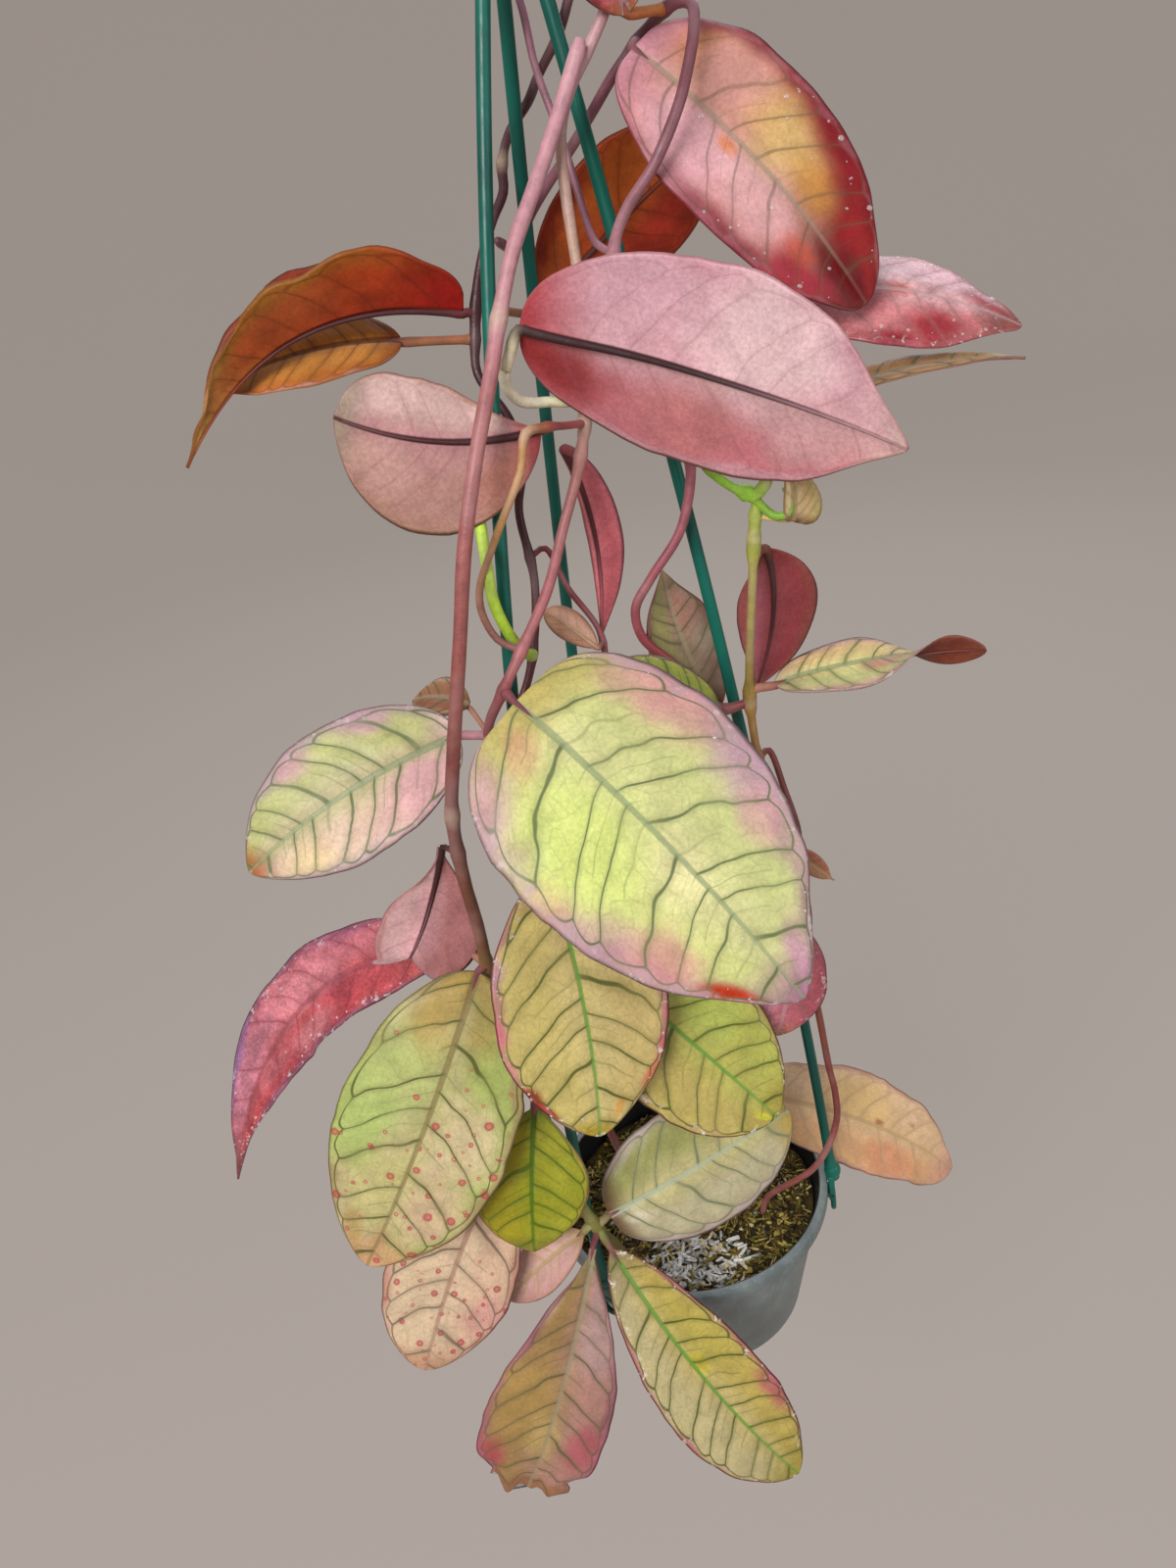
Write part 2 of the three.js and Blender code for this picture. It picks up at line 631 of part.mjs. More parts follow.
function makePot() {
  const underLip = potWallRadius(-LIP_DEPTH);
  const floorTop = -POT_HEIGHT + FLOOR_RECESS + FLOOR_THICKNESS;
  const profile = [
    [0, -POT_HEIGHT + FLOOR_RECESS],
    [POT_BASE_RADIUS - FOOT_WIDTH - FLOOR_RECESS, -POT_HEIGHT + FLOOR_RECESS],
    [POT_BASE_RADIUS - FOOT_WIDTH, -POT_HEIGHT],
    [POT_BASE_RADIUS - POT_ROUNDING, -POT_HEIGHT],
    [potWallRadius(POT_ROUNDING - POT_HEIGHT), -POT_HEIGHT + POT_ROUNDING],
    [underLip, -LIP_DEPTH],
    [RIM_RADIUS - 0.4, -LIP_DEPTH],
    [RIM_RADIUS, -LIP_DEPTH + LIP_ROUNDING],
    [RIM_RADIUS, -LIP_ROUNDING],
    [RIM_RADIUS - LIP_ROUNDING, 0],
    [potWallRadius(0) - POT_WALL + LIP_ROUNDING, 0],
    [potWallRadius(-LIP_ROUNDING) - POT_WALL, -LIP_ROUNDING],
    [potWallRadius(floorTop) - POT_WALL, floorTop],
    [0, floorTop],
  ].map(([r, z]) => new THREE.Vector2(r, z));
  const shell = new THREE.LatheGeometry(profile, POT_SIDES);
  shell.rotateX(Math.PI / 2);
  let solid = toSolid(shell);
  for (let i = 0; i < DRAIN_HOLES; i += 1) {
    const turn = (2 * Math.PI * i) / DRAIN_HOLES;
    const drill = new THREE.CylinderGeometry(DRAIN_RADIUS, DRAIN_RADIUS, 6 * FLOOR_THICKNESS, 8);
    drill.rotateX(Math.PI / 2);
    drill.translate(DRAIN_CIRCLE * Math.cos(turn), DRAIN_CIRCLE * Math.sin(turn), floorTop);
    solid = solid.subtract(toSolid(drill));
  }
  return solid;
}

// Potting mix, lumpy on top, with a plain hole for each vine that grows in it
function makeMix() {
  const floor = -POT_HEIGHT + FLOOR_RECESS + FLOOR_THICKNESS + MIX_CLEARANCE;
  const inner = (z) => potWallRadius(z) - POT_WALL - MIX_CLEARANCE;
  const edge = inner(MIX_LEVEL);
  const shoulder = MIX_LEVEL - 2;
  const rings = [0.97, 0.7, 0.35].map((share) => [edge * share, MIX_LEVEL]);
  const profile = [
    [0, floor], [inner(floor), floor], [inner(shoulder), shoulder], ...rings, [0, MIX_LEVEL],
  ].map(([r, z]) => new THREE.Vector2(r, z));
  const body = new THREE.LatheGeometry(profile, MIX_SIDES);
  body.rotateX(Math.PI / 2);
  const places = body.attributes.position;
  for (let i = 0; i < places.count; i += 1) {
    const [x, y, z] = [places.getX(i), places.getY(i), places.getZ(i)];
    const reach = Math.hypot(x, y);
    if (z > shoulder + TOUCHING && reach < edge * 0.9) {
      const lumps = Math.sin(x * 0.33 + 1) * Math.cos(y * 0.29) + Math.sin((x + y) * 0.21);
      places.setZ(i, z + MIX_LUMPS * lumps);
    }
  }
  let solid = toSolid(body);
  for (const vine of Object.values(VINES)) {
    const foot = vector(vine.points[vine.points.length - 1]);
    if (foot.z < MIX_LEVEL) {
      const root = smooth(vine.points.slice(-4).map(vector));
      const holeRadius = vine.radius + 2 * SEAT;
      solid = solid.subtract(toSolid(tube(root, holeRadius, 6, VINE_STEP)));
      solid = solid.subtract(ball(foot.toArray(), holeRadius + SEAT, 6, 4));
    }
  }
  return solid;
}

// Hanger: each strand bows outwards by its own amount on its way up to the hub
const STRANDS = {
  strand_front_left: { turn: STRAND_TURN - 120, bow: 21.8 },
  strand_back: { turn: STRAND_TURN + 120, bow: 8.9 },
  strand_right: { turn: STRAND_TURN, bow: 6.7 },
};

function strandPoint(strand, height) {
  const share = height / STRAND_APEX;
  const reach = STRAND_FOOT * (1 - share) + strand.bow * 4 * share * (1 - share);
  const turn = degrees(strand.turn);
  return new THREE.Vector3(reach * Math.cos(turn), reach * Math.sin(turn), height);
}

// A strand ends in a clip: a plate outside the lip, a toe under it and a loop below
function makeStrand(strand) {
  const points = [];
  const bends = 12;
  for (let i = 0; i <= bends; i += 1) {
    points.push(strandPoint(strand, 1 + ((STRAND_TOP - 1) * i) / bends));
  }
  let solid = toSolid(tube(smooth(points), STRAND_RADIUS, 8, STRAND_STEP));
  const add = (geometry, reach, z) => {
    geometry.translate(reach, 0, z);
    geometry.rotateZ(degrees(strand.turn));
    solid = solid.add(toSolid(geometry));
  };
  const outside = RIM_RADIUS + SEAT;
  const plateMiddle = outside + CLIP_PLATE / 2;
  add(new THREE.BoxGeometry(CLIP_PLATE, CLIP_WIDTH, CLIP_HEIGHT), plateMiddle, CLIP_TOP - CLIP_HEIGHT / 2);
  const toeMiddle = outside + CLIP_PLATE / 2 - CLIP_TOE / 2;
  const toeTop = -LIP_DEPTH - SEAT;
  const toe = new THREE.BoxGeometry(CLIP_PLATE + CLIP_TOE, CLIP_WIDTH, TOE_HEIGHT);
  add(toe, toeMiddle, toeTop - TOE_HEIGHT / 2);
  add(new THREE.SphereGeometry(BEAD_RADIUS, 8, 5), STRAND_FOOT, BEAD_HEIGHT);
  const loop = new THREE.TorusGeometry(LOOP_RADIUS, LOOP_WIRE, 5, 8);
  loop.rotateX(Math.PI / 2);
  loop.rotateZ(Math.PI / 2);
  add(loop, plateMiddle + 0.4, CLIP_TOP - CLIP_HEIGHT - 2);
  return solid;
}

function makeHanger() {
  const hubBottom = STRAND_TOP + 2 * SEAT;
  const profile = [
    [0, 0], [HUB_RADIUS, 0], [HUB_RADIUS, 5], [HUB_RADIUS - 2, 8], [4, 24],
    [HOOK_WIRE + 0.6, HUB_HEIGHT], [0, HUB_HEIGHT],
  ].map(([r, z]) => new THREE.Vector2(r, z));
  const hub = new THREE.LatheGeometry(profile, 16);
  hub.rotateX(Math.PI / 2);
  hub.translate(0, 0, hubBottom);
  const centre = HOOK_DROP - HOOK_RADIUS;
  const bend = HOOK_RADIUS + HOOK_WIRE;
  const points = [
    new THREE.Vector3(0, 0, hubBottom + HUB_HEIGHT - 6),
    new THREE.Vector3(0, 0, centre - bend - 8),
    new THREE.Vector3(4, 0, centre - bend + 1),
  ];
  for (let angle = -45; angle <= 205; angle += 25) {
    const turn = degrees(angle);
    points.push(new THREE.Vector3(bend * Math.cos(turn), 0, centre + bend * Math.sin(turn)));
  }
  const hook = tube(smooth(points), HOOK_WIRE, 8, 6);
  return toSolid(hub).add(toSolid(hook));
}

// Finishes
function finish(colour, roughness) {
  return new THREE.MeshStandardMaterial({ color: colour, roughness, metalness: 0 });
}

const hangerGreen = finish('#0f7a66', 0.35);

const plant = new THREE.Group();
plant.position.z = -HOOK_DROP;

function addPiece(name, solid, material) {
  const mesh = new THREE.Mesh(toGeometry(solid), material);
  mesh.name = name;
  plant.add(mesh);
}

// Vines that stand alone come first, then those that spring from them or end on them
const carried = (vine) => Number(Boolean(vine.springs || vine.lands));
const vinesInOrder = Object.values(VINES).sort((a, b) => carried(a) - carried(b));
for (const vine of vinesInOrder) {
  vine.curve = makeCurve(vine);
}

addPiece('pot', makePot(), finish('#8e9490', 0.5));
addPiece('potting_mix', makeMix(), finish('#6d5a3c', 0.95));
addPiece('hanger_hook', makeHanger(), hangerGreen);
for (const [name, strand] of Object.entries(STRANDS)) {
  addPiece(name, makeStrand(strand), hangerGreen);
}
for (const [name, vine] of Object.entries(VINES)) {
  addPiece(`stem_${name}`, makeVine(vine), finish(vine.colour, 0.5));
}
for (const [name, leaf] of Object.entries(LEAVES)) {
  addPiece(name, makeLeaf(leaf), finish(leaf.colour, 0.45));
}

const hangingPlant = new THREE.Group();
hangingPlant.add(plant);

export default hangingPlant;
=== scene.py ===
"""A wax-flower vine, Hoya gunung gading, in a shallow plastic pot on a three-strand hanger.

Pieces are shaped in millimetres around the centre of the pot's rim, with the front of the
plant at -Y, and then scaled to metres and lowered until the hook's seat is the origin.
"""

import logging
import math
import random
from collections.abc import Callable, Sequence
from dataclasses import dataclass, field, replace
from enum import Enum
from functools import cached_property

import bmesh
import bpy
from bmesh.types import BMesh, BMLoop
from bpy.types import Material, NodeSocket, Object
from mathutils import Matrix, Quaternion, Vector, noise


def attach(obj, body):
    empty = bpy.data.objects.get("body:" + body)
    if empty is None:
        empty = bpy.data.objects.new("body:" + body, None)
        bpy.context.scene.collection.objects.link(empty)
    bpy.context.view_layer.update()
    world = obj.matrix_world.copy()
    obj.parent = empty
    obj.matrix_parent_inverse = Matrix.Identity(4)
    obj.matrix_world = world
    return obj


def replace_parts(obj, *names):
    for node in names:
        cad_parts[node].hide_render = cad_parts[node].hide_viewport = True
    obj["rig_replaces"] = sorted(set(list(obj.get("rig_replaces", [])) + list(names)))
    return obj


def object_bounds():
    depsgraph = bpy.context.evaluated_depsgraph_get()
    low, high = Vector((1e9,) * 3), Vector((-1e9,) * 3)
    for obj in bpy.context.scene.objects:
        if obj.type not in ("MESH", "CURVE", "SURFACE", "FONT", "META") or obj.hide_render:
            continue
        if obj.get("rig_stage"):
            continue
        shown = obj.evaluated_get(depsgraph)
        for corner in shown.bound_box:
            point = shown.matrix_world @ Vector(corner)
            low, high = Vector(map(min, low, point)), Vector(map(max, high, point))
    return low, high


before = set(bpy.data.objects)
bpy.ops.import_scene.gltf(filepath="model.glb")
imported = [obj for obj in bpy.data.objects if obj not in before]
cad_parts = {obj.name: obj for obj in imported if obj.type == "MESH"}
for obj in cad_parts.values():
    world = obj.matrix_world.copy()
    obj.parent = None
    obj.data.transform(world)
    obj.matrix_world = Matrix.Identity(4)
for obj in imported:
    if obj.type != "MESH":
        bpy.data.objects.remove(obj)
cad_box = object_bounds()

LOG = logging.getLogger("hanging_hoya")

MM = 0.001
HOOK_DROP = 540.0

Point = tuple[float, float, float]
Field = NodeSocket | float | Sequence[float]
Place = Callable[[float, float], Vector]


def ease(start: float, end: float, value: float) -> float:
    """Runs smoothly from 0 at start to 1 at end.

    Args:
        start: The value that gives 0.
        end: The value that gives 1; it may lie below start.
        value: The value to place between them.

    Returns:
        A share from 0 to 1.
    """
    share = min(1.0, max(0.0, (value - start) / (end - start)))
    return share * share * (3.0 - 2.0 * share)


def colour(code: str) -> Vector:
    """Turns a screen colour into the linear one that shaders mix.

    Args:
        code: The colour as #rrggbb.

    Returns:
        Its red, green and blue as linear shares.
    """
    parts = [int(code[i:i + 2], 16) / 255.0 for i in (1, 3, 5)]
    return Vector([p / 12.92 if p <= 0.04045 else ((p + 0.055) / 1.055) ** 2.4 for p in parts])


def rgba(code: str) -> tuple[float, float, float, float]:
    """Gives a screen colour as a shader's four linear numbers."""
    return (*colour(code), 1.0)


def palette(codes: str) -> list[Vector]:
    """Turns colour codes with spaces between them into linear colours."""
    return [colour(f"#{code}") for code in codes.split()]


def wander(point: Vector, scale: float, seed: float) -> float:
    """Gives smooth noise at a point.

    Args:
        point: The place, in millimetres.
        scale: The length of one swell of the noise, in millimetres.
        seed: A number that makes one run of noise unlike another.

    Returns:
        A number from about -1 to 1.
    """
    return noise.noise(point / scale + Vector((seed, 1.7 * seed, -seed)))


def centripetal(points: Sequence[Vector], step: float) -> list[Vector]:
    """Runs a centripetal Catmull-Rom curve through points.

    Args:
        points: The points that the curve passes through.
        step: About how far apart the samples lie.

    Returns:
        The samples, with the first and the last point among them.
    """
    first = points[0] * 2 - points[1]
    last = points[-1] * 2 - points[-2]
    hull = [first, *points, last]
    samples = [points[0].copy()]
    for p0, p1, p2, p3 in zip(hull, hull[1:], hull[2:], hull[3:]):
        d0, d1, d2 = ((b - a).length ** 0.5 for a, b in ((p0, p1), (p1, p2), (p2, p3)))
        leave = ((p1 - p0) / d0 - (p2 - p0) / (d0 + d1) + (p2 - p1) / d1) * d1
        reach = ((p2 - p1) / d1 - (p3 - p1) / (d1 + d2) + (p3 - p2) / d2) * d1
        count = max(2, math.ceil((p2 - p1).length / step))
        for i in range(1, count + 1):
            u = i / count
            samples.append(
                p1 * (2 * u**3 - 3 * u**2 + 1) + leave * (u**3 - 2 * u**2 + u)
                + p2 * (3 * u**2 - 2 * u**3) + reach * (u**3 - u**2)
            )
    return samples


def lattice(bm: BMesh, rows: int, columns: int, place: Place) -> list:
    """Makes a grid, wraps it into a closed skin round a line and fills its two ends.

    Args:
        bm: The mesh that it is added to.
        rows: How many faces lie along the line.
        columns: How many faces lie round the line.
        place: Gives a corner's place from its share round and its share along.

    Returns:
        The grid's faces without the two ends.
    """
    corners = bmesh.ops.create_grid(bm, x_segments=columns, y_segments=rows, size=0.5)["verts"]
    faces = list({face for corner in corners for face in corner.link_faces})
    sheet = bm.loops.layers.uv.verify()
    for face in faces:
        for loop in face.loops:
            loop[sheet].uv = (loop.vert.co.x + 0.5, loop.vert.co.y + 0.5)
    for corner in corners:
        corner.co = place(corner.co.x + 0.5, corner.co.y + 0.5)
    bmesh.ops.remove_doubles(bm, verts=corners, dist=1e-4)
    faces = [face for face in faces if face.is_valid]
    open_edges = [e for face in faces for e in face.edges if e.is_boundary]
    bmesh.ops.holes_fill(bm, edges=list(set(open_edges)), sides=0)
    return faces


def sweep(bm: BMesh, path: Sequence[Vector], radii: Sequence[float], sides: int) -> list:
    """Sweeps a round section along a line, with both ends closed.

    Args:
        bm: The mesh that it is added to.
        path: The line's points.
        radii: The section's radius at each point.
        sides: How many faces lie round the line.

    Returns:
        The swept faces, whose first UV map says how far round and along each corner is.
    """
    tangents = [(b - a).normalized() for a, b in zip(path, path[1:])]
    tangents = [tangents[0], *((a + b).normalized() for a, b in zip(tangents, tangents[1:])), tangents[-1]]
    across = tangents[0].orthogonal().normalized()
    rings = []
    for tangent in tangents:
        across = (across - tangent * across.dot(tangent)).normalized()
        rings.append((across.copy(), tangent.cross(across)))

    def place(round_share: float, along_share: float) -> Vector:
        """Gives a corner of the swept skin."""
        i = round(along_share * (len(path) - 1))
        turn = 2 * math.pi * round_share
        return path[i] + (rings[i][0] * math.cos(turn) + rings[i][1] * math.sin(turn)) * radii[i]

    return lattice(bm, len(path) - 1, sides, place)


def tint(bm: BMesh, faces: Sequence, shade: Callable[..., Vector]) -> None:
    """Colours the corners of some faces.

    Args:
        bm: The mesh that the faces are in.
        faces: The faces to colour.
        shade: Gives a linear colour from a loop of a face.
    """
    layer = bm.loops.layers.float_color.get("tint") or bm.loops.layers.float_color.new("tint")
    for face in faces:
        for loop in face.loops:
            loop[layer] = (*shade(loop), 1.0)


def spin_profile(bm: BMesh, profile: Sequence[tuple[float, float]], steps: int) -> None:
    """Turns a profile round the upright axis.

    Args:
        bm: The mesh that the skin is added to.
        profile: The profile's corners, each as a radius and a height.
        steps: How many faces lie round the axis.
    """
    corners = [bm.verts.new((radius, 0.0, z)) for radius, z in profile]
    line = [bm.edges.new(pair) for pair in zip(corners, corners[1:])]
    bmesh.ops.spin(
        bm, geom=corners + line, cent=(0, 0, 0), axis=(0, 0, 1), angle=2 * math.pi, steps=steps,
        use_merge=True,
    )


def make_object(name: str, bm: BMesh, finishes: Sequence[Material]) -> Object:
    """Makes a smooth object of a mesh and puts it in the scene.

    Args:
        name: The object's name.
        bm: The mesh, which is freed.
        finishes: The object's materials, in the order that its faces number them.

    Returns:
        The new object.
    """
    mesh = bpy.data.meshes.new(name)
    for face in bm.faces:
        face.smooth = True
    bm.to_mesh(mesh)
    bm.free()
    for finish in finishes:
        mesh.materials.append(finish)
    made = bpy.data.objects.new(name, mesh)
    bpy.context.scene.collection.objects.link(made)
    return made


def add_piece(
    name: str,
    bm: BMesh,
    finishes: Sequence[Material],
    slot: str,
    stands_for: Sequence[str],
) -> Object:
    """Makes a finished piece of a mesh that was shaped in millimetres round the rim.

    Args:
        name: The piece's name.
        bm: The mesh, which is freed.
        finishes: The piece's materials, in the order that its faces number them.
        slot: The record's material slot; not used.
        stands_for: The frame's nodes that it replaces.

    Returns:
        The new object, which rides on the root body.
    """
    bm.transform(Matrix.Scale(MM, 4) @ Matrix.Translation((0.0, 0.0, -HOOK_DROP)))
    piece = make_object(name, bm, finishes)
    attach(piece, "root")
    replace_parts(piece, *stands_for)
    return piece


class Graph:
    """One material's nodes, written as calls that hand sockets on to each other."""

    def __init__(self, name: str) -> None:
        """Starts a material with its surface shader alone."""
        self.material = bpy.data.materials.new(name)
        self.material.use_nodes = True
        self.tree = self.material.node_tree
        self.shader = self.tree.nodes["Principled BSDF"]

    def feed(self, socket: NodeSocket, value: Field) -> None:
        """Links a socket to another one, or sets it."""
        if isinstance(value, NodeSocket):
            self.tree.links.new(value, socket)
        else:
            socket.default_value = value

    def add(self, kind: str, inputs: dict, out: str | int = 0, **settings: object) -> NodeSocket:
        """Adds a node.

        Args:
            kind: The node's type.
            inputs: A value or a socket for each input, by its name or number.
            out: The name or number of the output to hand back.
            **settings: The node's own properties.

        Returns:
            The chosen output socket.
        """
        node = self.tree.nodes.new(kind)
        for key, value in settings.items():
            setattr(node, key, value)
        for key, value in inputs.items():
            self.feed(node.inputs[key], value)
        return node.outputs[out]

    def math(self, operation: str, *values: Field) -> NodeSocket:
        """Adds a maths node on up to three values."""
        return self.add("ShaderNodeMath", dict(enumerate(values)), operation=operation)

    def times(self, *values: Field) -> NodeSocket:
        """Multiplies two values."""
        return self.math("MULTIPLY", *values)

    def plus(self, *values: Field) -> NodeSocket:
        """Adds two values."""
        return self.math("ADD", *values)

    def minus(self, *values: Field) -> NodeSocket:
        """Takes the second value from the first."""
        return self.math("SUBTRACT", *values)

    def apart(self, *values: Field) -> NodeSocket:
        """Gives how far two values lie apart."""
        return self.math("ABSOLUTE", self.minus(*values))

    def ramp(
        self, value: Field, start: Field, end: Field, low: float = 0.0, high: float = 1.0
    ) -> NodeSocket:
        """Runs smoothly from low to high as a value goes from start to end."""
        inputs = {"Value": value, "From Min": start, "From Max": end, "To Min": low, "To Max": high}
        return self.add("ShaderNodeMapRange", inputs, interpolation_type="SMOOTHSTEP")

    def mix(self, share: Field, below: Field, above: Field, mode: str = "MIX") -> NodeSocket:
        """Lays one colour over another."""
        inputs = {0: share, 6: below, 7: above}
        return self.add("ShaderNodeMix", inputs, 2, data_type="RGBA", blend_type=mode)

    def place(self) -> NodeSocket:
        """Gives the place on the object, in metres."""
        return self.add("ShaderNodeTexCoord", {}, "Object")

    def noise(self, where: Field, size: float, detail: float = 2.0, rough: float = 0.5) -> NodeSocket:
        """Adds noise whose swells are a size in metres, from 0 to 1."""
        inputs = {"Vector": where, "Scale": 1.0 / size, "Detail": detail, "Roughness": rough}
        return self.add("ShaderNodeTexNoise", inputs, 0)

    def split(self, vector: Field) -> tuple[NodeSocket, ...]:
        """Gives a vector's three parts."""
        return tuple(self.add("ShaderNodeSeparateXYZ", {0: vector}).node.outputs)

    def attribute(self, name: str, out: str) -> NodeSocket:
        """Reads an attribute of the mesh."""
        return self.add("ShaderNodeAttribute", {}, out, attribute_name=name)

    def bump(self, height: Field, strength: float, distance: float) -> None:
        """Raises the surface by a height, over a distance in metres."""
        inputs = {"Height": height, "Strength": strength, "Distance": distance}
        self.feed(self.shader.inputs["Normal"], self.add("ShaderNodeBump", inputs))

    def finish(self, **sockets: Field) -> Material:
        """Sets the shader's own sockets, whose names have _ for a space."""
        for key, value in sockets.items():
            self.feed(self.shader.inputs[key.replace("_", " ")], value)
        return self.material


@dataclass(frozen=True)
class BladeFinish:
    """How one face of a blade looks over its painted colours: veins, gloss and marks."""

    name: str
    vein: str
    midrib: str
    vein_share: float = 0.8
    midrib_share: float = 0.7
    midrib_end: float = 0.75
    vein_width: float = 0.2
    vein_soft: float = 0.42
    midrib_width: float = 0.9
    halo: float = 0.25
    net: float = 0.18
    mottle: float = 0.16
    speck: float = 0.09
    rough: float = 0.46
    coat: float = 0.05
    edge: str = "#a08474"
    edge_share: float = 0.6
    scuff: float = 0.0
    outer: str = "#a8949a"
    outer_share: float = 0.3
    spot: str = ""
    spot_size: float = 7.0
    spot_share: float = 0.5

    CLOUD_SIZE = 0.009
    GRAIN_SIZE = 0.0011
    BLUSH_SIZE = 0.0055
    SCUFF_SIZE = 0.0032
    GLOSS_SIZE = 0.004
    WOBBLE_SIZE = 0.014
    FADE_SIZE = 0.018
    NET_SCALE = 0.17
    SCUFF_TONE = "#dcd4ce"

    def veins(self, graph: Graph) -> tuple[NodeSocket, ...]:
        """Draws the net of veins.

        Args:
            graph: The material's nodes.

        Returns:
            How much side vein, halo and midrib there is at each place, the distance to
            the margin, how far outside the loops it is, and its flat place in millimetres.
        """
        where = graph.place()
        phase, side, _ = graph.split(graph.add("ShaderNodeUVMap", {}, uv_map="veins"))
        share, reach, rim = graph.split(graph.attribute("span", "Vector"))
        pitch, length, _ = graph.split(graph.attribute("scale", "Vector"))
        across = graph.math("ABSOLUTE", side)
        leftward = graph.math("SIGN", side)
        wobble = graph.math("MULTIPLY_ADD", graph.noise(where, self.WOBBLE_SIZE, 1.0), 0.44, -0.22)
        phase = graph.plus(phase, wobble)
        turn = graph.math("FRACT", phase)

        # The side veins end at the loops near the margin.
        gap = graph.times(graph.apart(graph.math("FRACT", graph.plus(phase, 0.5)), 0.5), pitch)
        width = graph.math("MULTIPLY_ADD", across, -0.4 * self.vein_width, self.vein_width)
        inside = graph.ramp(across, 0.89, 0.85)
        line = graph.times(graph.ramp(gap, graph.plus(width, self.vein_soft), width), inside)

        # The loops bow outwards from one side vein to the next.
        bow = graph.math("SINE", graph.times(turn, math.pi))
        bow = graph.math("MULTIPLY_ADD", bow, 0.07, 0.85)
        outside = graph.ramp(graph.minus(across, bow), -0.05, 0.04)
        away = graph.times(graph.apart(across, bow), graph.plus(reach, rim))
        loop = graph.ramp(away, 0.6 * self.vein_width + self.vein_soft, 0.5 * self.vein_width)

        # Short veins run out between the side veins, each to a length of its own.
        chance = graph.math("FLOOR", graph.plus(phase, leftward))
        chance = graph.add("ShaderNodeTexWhiteNoise", {"W": chance}, noise_dimensions="1D")
        stop = graph.math("MULTIPLY_ADD", chance, 0.55, 0.05)
        between = graph.times(graph.apart(turn, 0.5), pitch)
        short = graph.ramp(between, 0.4 * self.vein_width + self.vein_soft, 0.4 * self.vein_width)
        short = graph.times(short, graph.ramp(graph.minus(across, stop), 0.06, -0.02))

        # A fine net fills the fields between them.
        flat = {0: graph.times(phase, pitch), 1: reach, 2: leftward}
        flat = graph.add("ShaderNodeCombineXYZ", flat)
        cells = {"Vector": flat, "Scale": self.NET_SCALE, "Randomness": 0.9}
        cells = graph.add("ShaderNodeTexVoronoi", cells, "Distance", feature="DISTANCE_TO_EDGE")
        net = graph.times(graph.ramp(cells, 0.045, 0.01), self.net)
        strong = graph.math("MAXIMUM", graph.math("MAXIMUM", line, loop), graph.times(short, 0.4))
        fading = graph.ramp(graph.noise(where, self.FADE_SIZE, 2.0), 0.3, 0.6, 0.55, 1.0)
        strong = graph.times(graph.math("MAXIMUM", strong, net), graph.times(fading, self.vein_share))
        halo = graph.times(graph.times(graph.ramp(gap, 2.4, 0.3), inside), self.halo)
        taper = graph.math("MULTIPLY_ADD", share, -0.72 * self.midrib_width, self.midrib_width)
        middle = graph.times(graph.ramp(reach, graph.plus(taper, 0.6), taper), self.midrib_share)
        middle = graph.times(middle, graph.ramp(share, 0.98, 0.6, self.midrib_end, 1.0))
        sheet = {0: graph.times(share, length), 1: graph.times(reach, leftward)}
        return strong, halo, middle, rim, outside, graph.add("ShaderNodeCombineXYZ", sheet)

    def material(self) -> Material:
        """Builds the finish.

        Returns:
            The material, which reads the blade's tint, span, pitch and veins.
        """
        graph = Graph(self.name)
        where = graph.place()
        strong, halo, middle, rim, outside, sheet = self.veins(graph)
        cloud = graph.noise(where, self.CLOUD_SIZE, 3.0, 0.6)
        cloud = graph.ramp(cloud, 0.25, 0.75, 1.0 - self.mottle, 1.0 + 0.5 * self.mottle)
        grain = graph.noise(where, self.GRAIN_SIZE, 2.0, 0.7)
        flecks = graph.ramp(grain, 0.3, 0.7, 1.0 - self.speck, 1.0 + self.speck)
        base = graph.mix(1.0, graph.attribute("tint", "Color"), cloud, "MULTIPLY")
        base = graph.mix(1.0, base, flecks, "MULTIPLY")
        base = graph.mix(halo, base, rgba(self.vein))
        blush = graph.ramp(graph.noise(where, self.BLUSH_SIZE, 3.0, 0.65), 0.38, 0.6, 0.15, 1.0)
        blush = graph.times(graph.times(outside, blush), self.outer_share)
        base = graph.mix(blush, base, rgba(self.outer))
        if self.spot:
            base = self.spots(graph, sheet, base)
        base = graph.mix(strong, base, rgba(self.vein))
        base = graph.mix(middle, base, rgba(self.midrib))
        base = graph.mix(graph.ramp(rim, 0.8, 0.25, 0.0, self.edge_share), base, rgba(self.edge))
        if self.scuff:
            worn = graph.ramp(graph.noise(where, self.SCUFF_SIZE, 3.0, 0.7), 0.58, 0.66)
            worn = graph.times(worn, graph.ramp(rim, 4.5, 0.8, 0.0, self.scuff))
            base = graph.mix(worn, base, rgba(self.SCUFF_TONE))
        height = graph.math("MULTIPLY_ADD", strong, -0.7, graph.times(grain, 0.35))
        graph.bump(graph.minus(height, graph.times(middle, 0.8)), 0.35, 0.0006)
        gloss = graph.noise(where, self.GLOSS_SIZE, 2.0)
        gloss = graph.ramp(gloss, 0.3, 0.7, self.rough - 0.07, self.rough + 0.07)
        return graph.finish(
            Base_Color=base, Roughness=gloss, Coat_Weight=self.coat, Coat_Roughness=0.16,
            Specular_IOR_Level=0.15, Subsurface_Weight=0.03, Subsurface_Scale=0.003,
        )

